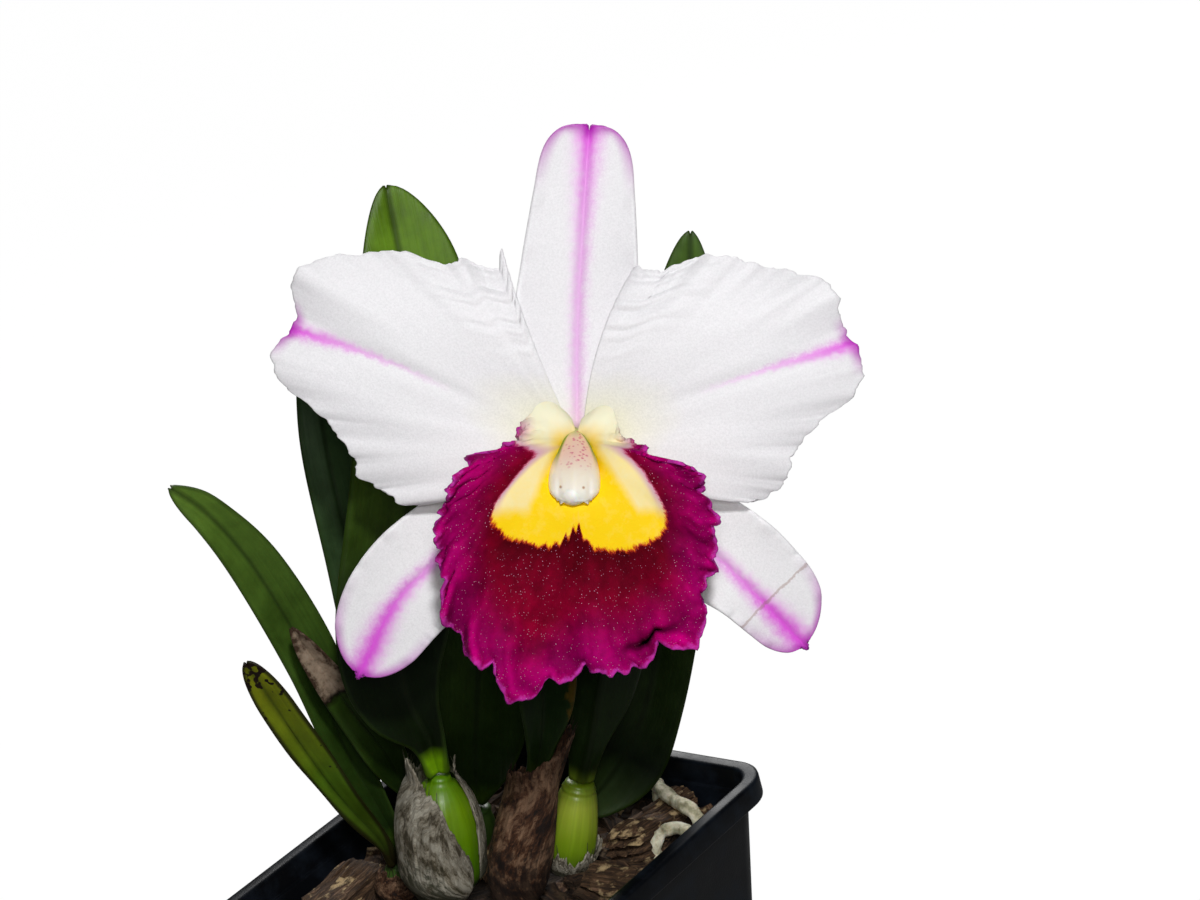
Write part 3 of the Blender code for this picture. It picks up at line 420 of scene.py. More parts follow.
def mesh_of(name, points, faces, uv=None, values=None):
    """A smooth mesh from points in mm, with a UV map and named values on its points."""
    mesh = bpy.data.meshes.new(name)
    mesh.from_pydata((np.asarray(points) * MM).tolist(), [], faces)
    if uv is not None:
        corner = np.empty(len(mesh.loops), np.int32)
        mesh.loops.foreach_get("vertex_index", corner)
        layer = mesh.uv_layers.new(name="UVMap")
        layer.data.foreach_set("uv", np.asarray(uv, np.float32)[corner].ravel())
    for key, value in (values or {}).items():
        value = np.asarray(value, np.float32)
        kind = "FLOAT_VECTOR" if value.ndim > 1 else "FLOAT"
        attribute = mesh.attributes.new(key, kind, "POINT")
        attribute.data.foreach_set("vector" if value.ndim > 1 else "value", value.ravel())
    mesh.shade_smooth()
    return mesh


def blade(name, points, thick, values=None):
    """A closed blade through a grid of points, rows along it and columns across it.

    thick is its thickness at each point. It is thinned to a soft edge at its rim. The point value
    "upper" is 1 on its upper face and 0 on the lower one.
    """
    rows, columns = points.shape[:2]
    normal = unit(np.cross(np.gradient(points, axis=1), np.gradient(points, axis=0)))
    half = np.broadcast_to(np.asarray(thick, float) / 2, (rows, columns)).copy()
    half[0], half[-1], half[:, 0], half[:, -1] = (edge * 0.45 for edge in
                                                  (half[0], half[-1], half[:, 0], half[:, -1]))
    lift = normal * half[..., None]
    count = rows * columns
    both = np.concatenate([(points + lift).reshape(-1, 3), (points - lift).reshape(-1, 3)])
    at = np.arange(count).reshape(rows, columns)
    faces = []
    a, b, c, d = at[:-1, :-1], at[:-1, 1:], at[1:, 1:], at[1:, :-1]
    faces += np.stack([a, b, c, d], -1).reshape(-1, 4).tolist()
    faces += (np.stack([d, c, b, a], -1).reshape(-1, 4) + count).tolist()
    ring = np.concatenate([at[0, :-1], at[:-1, -1], at[-1, :0:-1], at[:0:-1, 0]])
    ahead = np.roll(ring, -1)
    faces += np.stack([ahead, ring, ring + count, ahead + count], -1).tolist()
    across, along = np.meshgrid(np.linspace(0, 1, columns), np.linspace(0, 1, rows))
    uv = np.stack([across, along], -1).reshape(-1, 2)
    found = {"upper": np.repeat([1.0, 0.0], count)}
    for key, value in (values or {}).items():
        value = np.asarray(value)
        flat = value.reshape(count, 3) if value.ndim > 2 else value.reshape(count)
        found[key] = np.concatenate([flat, flat])
    return mesh_of(name, both, faces, np.concatenate([uv, uv]), found)


def shell(name, rings, values=None, closed=True):
    """A solid through closed rings of points, capped at both ends, or joined last to first."""
    rows, columns = rings.shape[:2]
    count = rows * columns
    at = np.arange(count).reshape(rows, columns)
    wrap = np.roll(at, -1, axis=1)
    faces = np.stack([at[:-1], wrap[:-1], wrap[1:], at[1:]], -1).reshape(-1, 4).tolist()
    points = rings.reshape(-1, 3)
    found = {}
    for key, value in (values or {}).items():
        value = np.asarray(value)
        found[key] = value.reshape(count, 3) if value.ndim > 2 else value.reshape(count)
    if closed:
        ends = [rings[0].mean(0), rings[-1].mean(0)]
        points = np.concatenate([points, ends])
        for key, value in found.items():
            means = [value[:columns].mean(0), value[-columns:].mean(0)]
            found[key] = np.concatenate([value, means])
        faces += [(int(b), int(a), count) for a, b in zip(at[0], wrap[0])]
        faces += [(int(a), int(b), count + 1) for a, b in zip(at[-1], wrap[-1])]
    return mesh_of(name, points, faces, None, found)


def piece(name, mesh, nodes, material=None):
    """Puts a finished mesh in the scene in place of its CAD nodes."""
    obj = bpy.data.objects.new(name, mesh)
    bpy.context.scene.collection.objects.link(obj)
    if material is not None:
        mesh.materials.clear()
        mesh.materials.append(material)
    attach(obj, "root")
    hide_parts(*nodes)
    return obj


def evaluated_mesh(obj):
    """The mesh that an object's modifiers make of it. The object itself is removed."""
    bpy.context.view_layer.update()
    graph = bpy.context.evaluated_depsgraph_get()
    mesh = bpy.data.meshes.new_from_object(obj.evaluated_get(graph))
    bpy.data.objects.remove(obj, do_unlink=True)
    return mesh


def through_nodes(name, data, tree, inputs):
    """The plain mesh that a tree of geometry nodes makes of some data."""
    obj = bpy.data.objects.new(name, data)
    bpy.context.scene.collection.objects.link(obj)
    modifier = obj.modifiers.new(name, "NODES")
    modifier.node_group = tree
    for item in tree.interface.items_tree:
        if item.in_out == "INPUT" and item.name in inputs:
            modifier[item.identifier] = inputs[item.name]
    return evaluated_mesh(obj)


def node_tree(name, inputs):
    """An empty tree of geometry nodes with a Geometry input and output and these named inputs."""
    tree = bpy.data.node_groups.new(name, "GeometryNodeTree")
    tree.interface.new_socket("Geometry", in_out="INPUT", socket_type="NodeSocketGeometry")
    for key, kind in inputs.items():
        tree.interface.new_socket(key, in_out="INPUT", socket_type="NodeSocket" + kind)
    tree.interface.new_socket("Geometry", in_out="OUTPUT", socket_type="NodeSocketGeometry")
    return tree, add(tree, "NodeGroupInput")


# Finishes

def moulded_polypropylene(settings):
    """Black polypropylene, injection moulded: satin, with soft highlights and a fine grain."""
    material, tree, shader = surface(
        "black moulded polypropylene", IOR=1.49, Specular_IOR_Level=0.16)
    place = add(tree, "TexCoord")
    # Moulded grain is about 0.1 mm, drawn at 0.35 mm so that it shows
    grain = add(tree, "TexNoise", [(place, "Object"), fine(0.35), 3.0])
    dust = add(tree, "TexNoise", [(place, "Object"), fine(9.0), 6.0, 0.65])
    film = add(tree, "ValToRGB", [dust], stops=[(0.46, (0, 0, 0, 1)), (0.76, (0.4, 0.4, 0.4, 1))])
    tint = add(tree, "Mix", [film, settings.plastic, "#28323F"], data_type="RGBA")
    gloss = add(tree, "MapRange", [dust, 0.3, 0.7, 0.3, 0.5])
    bump = add(tree, "Bump", {"Strength": 0.22, "Distance": 0.00012, "Height": grain})
    feed(tree, shader, {"Base Color": tint, "Roughness": gloss, "Normal": bump})
    return material


def fir_bark(settings):
    """Broken fir bark: dull red-brown cork in thin layers, tan where it has split."""
    material, tree, shader = surface("fir bark, broken", Roughness=0.82, Specular_IOR_Level=0.3)
    grain = add(tree, "Attribute", attribute_name="grain")
    lot = add(tree, "Attribute", attribute_name="shade")
    # Cork layers are about 0.4 mm thick and run along the chip
    stretch = add(tree, "Mapping", {"Vector": (grain, "Vector"), "Scale": (0.12, 1.0, 1.9)})
    layers = add(tree, "TexNoise", {
        "Vector": stretch, "Scale": 1.5, "Detail": 7.0, "Roughness": 0.68, "Distortion": 0.5})
    place = add(tree, "TexCoord")
    blotch = add(tree, "TexNoise", [(place, "Object"), fine(3.2), 5.0, 0.6])
    brown = add(tree, "ValToRGB", [layers], stops=[
        (0.2, "#0E0906"), (0.42, "#291C13"), (0.55, settings.bark), (0.68, "#6A5140"),
        (0.86, settings.cork)])
    split = add(tree, "ValToRGB", [blotch], stops=[(0.56, (0, 0, 0, 1)), (0.66, (1, 1, 1, 1))])
    many = add(tree, "Math", [split, (lot, "Fac")], operation="MULTIPLY")
    mixed = add(tree, "Mix", [many, brown, settings.cork], data_type="RGBA")
    tone = add(tree, "MapRange", [(lot, "Fac"), 0.0, 1.0, 0.45, 1.6])
    toned = add(tree, "VectorMath", [mixed, tone], operation="SCALE")
    bump = add(tree, "Bump", {"Strength": 0.9, "Distance": 0.0007, "Height": layers})
    feed(tree, shader, {"Base Color": toned, "Normal": bump})
    return material


def root_velamen():
    """Velamen, the spongy dead skin of an orchid root: matt cream and grey-green, finely pitted."""
    material, tree, shader = surface("root velamen, dry", Roughness=0.78, Subsurface_Weight=0.12,
                                     Subsurface_Scale=0.0006)
    place = add(tree, "TexCoord")
    patches = add(tree, "TexNoise", [(place, "Object"), fine(2.4), 6.0, 0.62])
    colour = add(tree, "ValToRGB", [patches], stops=[
        (0.3, "#6E6A50"), (0.44, "#A8A486"), (0.56, "#D8D2B8"), (0.72, "#EEEAD8")])
    # Pits are about 0.2 mm, drawn at 0.3 mm
    pits = add(tree, "TexVoronoi", [(place, "Object"), fine(0.3)])
    bump = add(tree, "Bump", {"Strength": 0.5, "Distance": 0.00025, "Height": pits})
    feed(tree, shader, {"Base Color": colour, "Normal": bump})
    return material


def rhizome_bracts():
    """Rhizome in its old bracts: dull brown fibre with dark rings."""
    material, tree, shader = surface("rhizome in dry bracts", Roughness=0.85)
    place = add(tree, "TexCoord")
    fibre = add(tree, "TexNoise", [(place, "Object"), fine(0.9), 6.0, 0.7])
    colour = add(tree, "ValToRGB", [fibre], stops=[
        (0.3, "#20140E"), (0.5, "#4C3424"), (0.7, "#8A7458")])
    bump = add(tree, "Bump", {"Strength": 0.7, "Distance": 0.0005, "Height": fibre})
    feed(tree, shader, {"Base Color": colour, "Normal": bump})
    return material


def waxy_stem(name, low, middle, high, coat=0.15):
    """Living stem under a waxy cuticle: even green, glossy, with faint lengthwise lines.

    "place" on its points is its ring position and its height share.
    """
    material, tree, shader = surface(
        name, Subsurface_Weight=0.18, Subsurface_Scale=0.0018, IOR=1.42, Coat_Weight=coat,
        Coat_Roughness=0.3, Subsurface_Radius=(0.35, 1.0, 0.12))
    spot = add(tree, "Attribute", attribute_name="place")
    parts = add(tree, "SeparateXYZ", [(spot, "Vector")])
    colour = add(tree, "ValToRGB", [(parts, "Z")], stops=[
        (0.0, low), (0.42, middle), (0.8, high), (1.0, middle)])
    # Vascular lines stand about 0.7 mm apart
    stretch = add(tree, "Mapping", {"Vector": (spot, "Vector"), "Scale": (9.0, 9.0, 1.2)})
    lines = add(tree, "TexNoise", [stretch, 1.0, 3.0])
    tone = add(tree, "MapRange", [lines, 0.3, 0.7, 0.88, 1.1])
    toned = add(tree, "VectorMath", [colour, tone], operation="SCALE")
    place = add(tree, "TexCoord")
    fleck = add(tree, "TexNoise", [(place, "Object"), fine(1.6), 4.0])
    gloss = add(tree, "MapRange", [fleck, 0.35, 0.65, 0.34, 0.5])
    bump = add(tree, "Bump", {"Strength": 0.25, "Distance": 0.0003, "Height": lines})
    feed(tree, shader, {"Base Color": toned, "Roughness": gloss, "Normal": bump})
    return material


def papery_sheath(name, pale, dull, dark, foot, top):
    """Dead sheath: dry paper of lengthwise fibres, mottled, with mildew towards its foot.

    top is how bright its upper end is painted beside the rest: painted shadow from above.
    """
    material, tree, shader = surface(name, Roughness=0.72, Specular_IOR_Level=0.35)
    spot = add(tree, "Attribute", attribute_name="place")
    parts = add(tree, "SeparateXYZ", [(spot, "Vector")])
    # Fibres are about 0.15 mm, drawn at 0.3 mm, and some 6 mm long
    stretch = add(tree, "Mapping", {"Vector": (spot, "Vector"), "Scale": (2.4, 0.07, 0.0)})
    fibres = add(tree, "TexNoise", [stretch, 1.0, 6.0, 0.75])
    drawn = add(tree, "Mapping", {"Vector": (spot, "Vector"), "Scale": (0.8, 0.5, 0.0)})
    mottle = add(tree, "TexNoise", {
        "Vector": drawn, "Scale": 1.0, "Detail": 9.0, "Roughness": 0.78, "Distortion": 0.1})
    blots = add(tree, "TexNoise", [(spot, "Vector"), 0.3, 3.0])
    shift = add(tree, "MapRange", [blots, 0.3, 0.7, -0.14, 0.14])
    blotched = add(tree, "Math", [mottle, shift], operation="ADD")
    patches = add(tree, "ValToRGB", [blotched], stops=[(0.36, dark), (0.46, dull), (0.6, pale)])
    tone = add(tree, "MapRange", [fibres, 0.36, 0.64, 0.62, 1.3])
    # Painted shadow: the upper end is darkened towards top's share
    upper = add(tree, "MapRange", [
        (parts, "Z"), 0.5, 0.78, 1.0, top], interpolation_type="SMOOTHSTEP")
    fibre_tone_and_painted_shadow = add(tree, "Math", [tone, upper], operation="MULTIPLY")
    toned = add(tree, "VectorMath", [patches, fibre_tone_and_painted_shadow], operation="SCALE")
    mildew = add(tree, "TexNoise", [(spot, "Vector"), 1.1, 4.0, 0.6])
    low = add(tree, "MapRange", [(parts, "Z"), 0.6, 0.0, 0.0, 0.5])
    reach = add(tree, "Math", [mildew, low], operation="ADD")
    spread = add(tree, "ValToRGB", [reach], stops=[(0.6, (0, 0, 0, 1)), (0.78, (0.8, 0.8, 0.8, 1))])
    stained = add(tree, "Mix", [spread, toned, foot], data_type="RGBA")
    bump = add(tree, "Bump", {"Strength": 0.75, "Distance": 0.0005, "Height": fibres})
    feed(tree, shader, {"Base Color": stained, "Normal": bump})
    return material


def leaf_cuticle(name, foot, low, middle, tip, under, at=(0.0, 0.13, 0.3, 1.0), spots=None,
                 dry_from=None, margin=None):
    """Thick leathery leaf under its cuticle: satin, with close parallel veins and a sunk midrib
    with painted shade along it.

    "place" on its points is mm across from the midrib, mm along and the share along. "edge" is mm
    from the margin. at says where along it the four colours lie, spots colours the rot spots by
    its tip, dry_from is where a tip has died back, and margin colours its right side.
    """
    material, tree, shader = surface(
        name, IOR=1.45, Subsurface_Weight=0.05, Subsurface_Scale=0.0006,
        Specular_IOR_Level=0.2)
    spot = add(tree, "Attribute", attribute_name="place")
    parts = add(tree, "SeparateXYZ", [(spot, "Vector")])
    colour = add(tree, "ValToRGB", [(parts, "Z")],
                 stops=list(zip(at, (foot, low, middle, tip))))
    # Veins stand about 0.8 mm apart and run the whole length
    stretch = add(tree, "Mapping", {"Vector": (spot, "Vector"), "Scale": (1.25, 0.03, 0.0)})
    veins = add(tree, "TexNoise", [stretch, 1.0, 4.0, 0.6])
    mottle = add(tree, "TexNoise", [(spot, "Vector"), 0.16, 6.0, 0.6])
    ribbed = add(tree, "MapRange", [veins, 0.3, 0.7, 0.9, 1.1])
    clouded = add(tree, "MapRange", [mottle, 0.3, 0.7, 0.72, 1.28])
    tone = add(tree, "Math", [ribbed, clouded], operation="MULTIPLY")
    side = add(tree, "Attribute", attribute_name="upper")
    base = add(tree, "MapRange", [(parts, "Z"), 0.1, 0.02], interpolation_type="SMOOTHSTEP")
    shown = add(tree, "Math", [(side, "Fac"), base], operation="MAXIMUM")
    faced = add(tree, "Mix", [shown, under, colour], data_type="RGBA")
    toned = add(tree, "VectorMath", [faced, tone], operation="SCALE")
    # The midrib is sunk; the dark soft line about 1 mm wide along it is painted shade
    off = add(tree, "Math", [(parts, "X")], operation="ABSOLUTE")
    rib = add(tree, "MapRange", [off, 1.1, 0.1, 0.0, 0.6], interpolation_type="SMOOTHSTEP")
    ribs = add(tree, "Mix", [rib, toned, "#141F08"], data_type="RGBA")
    near = add(tree, "Attribute", attribute_name="edge")
    rim = add(tree, "MapRange", [(near, "Fac"), 0.7, 0.1, 0.0, 0.65])
    last = add(tree, "Mix", [rim, ribs, "#26380E"], data_type="RGBA")
    gloss = add(tree, "MapRange", [mottle, 0.3, 0.7, 0.3, 0.5])
    place = add(tree, "TexCoord")
    if margin:
        ragged = add(tree, "TexNoise", [(spot, "Vector"), 0.8, 5.0])
        wide = add(tree, "Math", [ragged, 4.0, (parts, "X")], operation="MULTIPLY_ADD")
        band = add(tree, "MapRange", [wide, 6.3, 7.1])
        last = add(tree, "Mix", [band, last, margin], data_type="RGBA")
    if spots:
        rot = add(tree, "TexNoise", [(place, "Object"), fine(1.3), 1.0])
        towards = add(tree, "MapRange", [(parts, "Z"), 0.82, 1.0, -0.2, 0.1])
        grown = add(tree, "Math", [rot, towards], operation="ADD")
        mask = add(tree, "ValToRGB", [grown], stops=[(0.56, (0, 0, 0, 1)), (0.6, (1, 1, 1, 1))])
        last = add(tree, "Mix", [mask, last, spots], data_type="RGBA")
        brown = add(tree, "MapRange", [
            (near, "Fac"), 0.9, 0.2, 0.0, 0.8], interpolation_type="SMOOTHSTEP")
        last = add(tree, "Mix", [brown, last, spots], data_type="RGBA")
    height = veins
    if dry_from:
        wander = add(tree, "TexNoise", [(spot, "Vector"), 0.5, 3.0])
        shifted = add(tree, "Math", [wander, 0.08, (parts, "Z")], operation="MULTIPLY_ADD")
        dead = add(tree, "MapRange", [shifted, dry_from + 0.03, dry_from + 0.05])
        line = add(tree, "MapRange", [shifted, dry_from, dry_from + 0.03])
        crumple = add(tree, "TexNoise", [(place, "Object"), fine(1.6), 6.0, 0.65])
        shrunk = add(tree, "MapRange", [(near, "Fac"), 1.3, 0.1, 0.0, -0.24])
        browned = add(tree, "Math", [crumple, shrunk], operation="ADD")
        tan = add(tree, "ValToRGB", [browned], stops=[
            (0.26, "#3A2A1E"), (0.46, "#887664"), (0.72, "#A2907E")])
        edged = add(tree, "Mix", [line, last, "#150E08"], data_type="RGBA")
        last = add(tree, "Mix", [dead, edged, tan], data_type="RGBA")
        gloss = add(tree, "MapRange", [dead, 0.0, 1.0, 0.38, 0.85])
        height = add(tree, "Math", [crumple, dead, veins], operation="MULTIPLY_ADD")
    bump = add(tree, "Bump", {"Strength": 0.35, "Distance": 0.0004, "Height": height})
    feed(tree, shader, {"Base Color": last, "Roughness": gloss, "Normal": bump})
    return material


def petal_tissue(settings, name, bright, width, tip_width, grow, blush, base):
    """Petal tissue: soft white that light enters, with painted glitter on its cells and one violet
    stripe.

    "place" on its points is mm across from the stripe, mm from the edge and the share along.
    bright scales its white as painted light and shade, evening out how the light falls on each
    sepal and petal. grow lists the stripe's strength along it, blush is the share of the tip that
    takes the stripe's colour, and base colours the foot.
    """
    material, tree, shader = surface(
        name, Roughness=0.5, Subsurface_Weight=0.25, Subsurface_Scale=0.0012,
        Subsurface_Radius=(1.0, 0.9, 0.95), Specular_IOR_Level=0.35, Sheen_Weight=0.12,
        Sheen_Roughness=0.4)
    spot = add(tree, "Attribute", attribute_name="place")
    parts = add(tree, "SeparateXYZ", [(spot, "Vector")])
    place = add(tree, "TexCoord")
    wash = add(tree, "ValToRGB", [(parts, "Z")], stops=[
        (0.04, base), (0.16, "#F3F1E4"), (0.34, settings.white), (1.0, settings.white)])
    # Veins fan out from the foot, about 1 mm apart at the edge
    stretch = add(tree, "Mapping", {"Vector": (place, "UV"), "Scale": (62.0, 2.2, 1.0)})
    veins = add(tree, "TexNoise", [stretch, 1.0, 4.0, 0.6])
    vein_tone = add(tree, "MapRange", [veins, 0.3, 0.7, 0.988, 1.008])
    # Cells are some 0.05 mm across; their glitter is painted as lighter and darker specks of 0.35
    # mm
    cells = add(tree, "TexNoise", [(place, "Object"), fine(0.35), 3.0, 0.7])
    painted_glitter = add(tree, "MapRange", [cells, 0.3, 0.7, 0.93, 1.07])
    grained = add(tree, "Math", [vein_tone, painted_glitter], operation="MULTIPLY")
    white_with_painted_light = add(tree, "Math", [grained, bright], operation="MULTIPLY")
    ribbed = add(tree, "VectorMath", [wash, white_with_painted_light], operation="SCALE")
    # The stripe's edge wanders by about 0.4 mm
    wander = add(tree, "TexNoise", [(place, "Object"), fine(1.4), 5.0, 0.7])
    push = add(tree, "MapRange", [wander, 0.0, 1.0, -1.1, 1.1])
    off = add(tree, "Math", [(parts, "X"), push], operation="ADD")
    wide = add(tree, "MapRange", [
        (parts, "Z"), 0.6, 1.0, width, tip_width], interpolation_type="SMOOTHSTEP")
    share = add(tree, "Math", [off, wide], operation="DIVIDE")
    square = add(tree, "Math", [share, share], operation="MULTIPLY")
    fall = add(tree, "Math", [square, -1.0], operation="MULTIPLY")
    bell = add(tree, "Math", [fall], operation="EXPONENT")
    strength = add(tree, "ValToRGB", [(parts, "Z")],
                   stops=[(at, (value,) * 3) for at, value in grow])
    stripe = add(tree, "Math", [bell, strength], operation="MULTIPLY")
    soft = add(tree, "Mix", [stripe, ribbed, settings.stripe], data_type="RGBA")
    # The tip and its margin are blushed with the stripe's colour
    rim = add(tree, "MapRange", [(parts, "Y"), 2.6, 0.0], interpolation_type="SMOOTHSTEP")
    tipward = add(tree, "MapRange", [
        (parts, "Z"), 1.0 - blush, 1.0, 0.0, 0.85], interpolation_type="SMOOTHSTEP")
    blushed = add(tree, "Math", [rim, tipward], operation="MULTIPLY")
    if name.startswith("petal"):
        # On a petal the blush stays within some 5 mm of the stripe
        close = add(tree, "Math", [(parts, "X")], operation="ABSOLUTE")
        only = add(tree, "MapRange", [close, 6.0], interpolation_type="SMOOTHSTEP")
        blushed = add(tree, "Math", [blushed, only], operation="MULTIPLY")
    final = add(tree, "Mix", [blushed, soft, "#B41CB4"], data_type="RGBA")
    if "right" in name and "sepal" in name:
        # An old fold crosses it as a thin brown line
        bent = add(tree, "Math", [wander, 0.03, (parts, "Z")], operation="MULTIPLY_ADD")
        away = add(tree, "Math", [bent, 0.785], operation="SUBTRACT")
        apart = add(tree, "Math", [away], operation="ABSOLUTE")
        fold = add(tree, "MapRange", [
            apart, 0.008, 0.002, 0.0, 0.45], interpolation_type="SMOOTHSTEP")
        final = add(tree, "Mix", [fold, final, "#9A7460"], data_type="RGBA")
    relief = add(tree, "Math", [veins, 0.06, cells], operation="MULTIPLY_ADD")
    bump = add(tree, "Bump", {"Strength": 0.22, "Distance": 0.0002, "Height": relief})
    feed(tree, shader, {"Base Color": final, "Normal": bump})
    return material


def velvety_lip(settings):
    """Lip tissue: velvety crimson with painted glints on its papillae, waxy yellow in the throat.

    "throat" on its points is mm beyond the throat's edge, its share of gold and its share of
    maroon. "margin" is mm from the edge, how far the boundary feathers and the share of side.
    """
    material, tree, shader = surface(
        "velvety lip tissue", Subsurface_Weight=0.06, Subsurface_Scale=0.0005,
        Specular_IOR_Level=0.02)
    place = add(tree, "TexCoord")
    zone = add(tree, "Attribute", attribute_name="throat")
    parts = add(tree, "SeparateXYZ", [(zone, "Vector")])
    edge = add(tree, "Attribute", attribute_name="margin")
    edges = add(tree, "SeparateXYZ", [(edge, "Vector")])
    # Feathering: rays about 0.5 mm wide round the throat's lower edge
    stretch = add(tree, "Mapping", {"Vector": (place, "UV"), "Scale": (70.0, 9.0, 1.0)})
    rays = add(tree, "TexNoise", [stretch, 1.0, 8.0, 0.85])
    rays_off = add(tree, "MapRange", [rays, 0.28, 0.72, -1.0])
    beyond = add(tree, "Math", [rays_off, (edges, "Y"), (parts, "X")], operation="MULTIPLY_ADD")
    mask = add(tree, "MapRange", [beyond, 0.0, 0.5], interpolation_type="SMOOTHSTEP")
    blood = add(tree, "MapRange", [beyond, -0.5, 0.2], interpolation_type="SMOOTHSTEP")
    # Yellow throat: paler up its sides, strong gold beside and below the column
    cloud = add(tree, "TexNoise", [(place, "Object"), fine(2.0), 6.0, 0.65])
    patchy = add(tree, "MapRange", [cloud, 0.3, 0.7, -0.08, 0.08])
    rich = add(tree, "Math", [(parts, "Y"), patchy], operation="ADD", use_clamp=True)
    yellow = add(tree, "Mix", [rich, "#F5F1D2", settings.gold], data_type="RGBA")
    lilac = add(tree, "MapRange", [(parts, "X"), -2.6, -0.1], interpolation_type="SMOOTHSTEP")
    lilac_side = add(tree, "Math", [lilac, (edges, "Z")], operation="MULTIPLY")
    washed = add(tree, "Mix", [lilac_side, yellow, "#D2A6B4"], data_type="RGBA")
    # Where crimson thins out over the throat it turns orange red on gold and mauve on cream
    thin = add(tree, "Mix", [rich, "#B04C86", "#C63418"], data_type="RGBA")
    throat = add(tree, "Mix", [blood, washed, thin], data_type="RGBA")
    # Crimson blade, maroon below the throat and magenta at its edge
    folds = add(tree, "Mapping", {"Vector": (place, "UV"), "Scale": (40.0, 5.0, 1.0)})
    streaks = add(tree, "TexNoise", [folds, 1.0, 6.0, 0.65])
    tone = add(tree, "MapRange", [streaks, 0.3, 0.7, 0.8, 1.2])
    clouds = add(tree, "TexNoise", [(place, "Object"), fine(3.2), 6.0, 0.6])
    cloud_tone = add(tree, "MapRange", [clouds, 0.3, 0.7, 0.66, 1.34])
    tone = add(tree, "Math", [tone, cloud_tone], operation="MULTIPLY")
    blade_colour = add(tree, "Mix", [(parts, "Z"), settings.crimson, "#4A0004"], data_type="RGBA")
    outer = add(tree, "MapRange", [
        (edges, "X"), 13.0, 1.0, 0.0, 0.9], interpolation_type="SMOOTHSTEP")
    shaded = add(tree, "Mix", [outer, blade_colour, "#A40066"], data_type="RGBA")
    # Painted light and shade: crests are painted lighter, hollows darker, and the hollow behind the
    # rolled fold nearly black
    relief = add(tree, "Attribute", attribute_name="relief")
    painted_crest_light = add(tree, "MapRange", [(relief, "Fac"), -1.2, 1.0, 0.35, 1.3])
    # deep is painted shade, nearly black in the hollow behind the rolled fold
    deep = add(tree, "MapRange", [(relief, "Fac"), -3.0, -1.4, 0.02])
    tone_and_painted_crest_light = add(tree, "Math", [painted_crest_light, tone], operation="MULTIPLY")
    tone_with_painted_light_and_shade = add(tree, "Math", [tone_and_painted_crest_light, deep], operation="MULTIPLY")
    toned = add(tree, "VectorMath", [shaded, tone_with_painted_light_and_shade], operation="SCALE")
    ragged = add(tree, "TexNoise", [(place, "Object"), fine(1.2), 4.0, 0.7])
    near = add(tree, "Math", [ragged, 2.4, (edges, "X")], operation="MULTIPLY_ADD")
    margin = add(tree, "MapRange", [near, 2.2, 1.1, 0.0, 0.85], interpolation_type="SMOOTHSTEP")
    rimmed = add(tree, "Mix", [margin, toned, "#C83CAE"], data_type="RGBA")
    both = add(tree, "Mix", [mask, throat, rimmed], data_type="RGBA")
    # Papillae are some 0.1 mm across. One in a few is drawn, 0.25 mm wide, as a painted pale pink
    # glint
    dots = add(tree, "TexVoronoi", [(place, "Object"), fine(0.36)])
    small = add(tree, "MapRange", [dots, 0.26, 0.12])
    chosen = add(tree, "SeparateColor", [(dots, "Color")])
    few = add(tree, "MapRange", [(chosen, "Red"), 0.6, 0.88])
    clumps = add(tree, "TexNoise", [(place, "Object"), fine(7.0)])
    thick = add(tree, "MapRange", [clumps, 0.4, 0.58, 0.25, 0.9])
    painted_glint = add(tree, "Math", [small, few], operation="MULTIPLY")
    painted_glints = add(tree, "Math", [painted_glint, thick], operation="MULTIPLY")
    painted_glints_on_blade = add(tree, "Math", [painted_glints, mask], operation="MULTIPLY")
    final = add(tree, "Mix", [painted_glints_on_blade, both, "#F0A8C8"], data_type="RGBA")
    gloss = add(tree, "MapRange", [mask, 0.0, 1.0, 0.42, 0.6])
    relief = add(tree, "Math", [streaks, 1.5, painted_glints], operation="MULTIPLY_ADD")
    raised = add(tree, "Math", [mask, 0.55], operation="MULTIPLY")
    bump = add(tree, "Bump", {"Strength": raised, "Distance": 0.0004, "Height": relief})
    feed(tree, shader, {"Base Color": final, "Roughness": gloss, "Normal": bump})
    return material


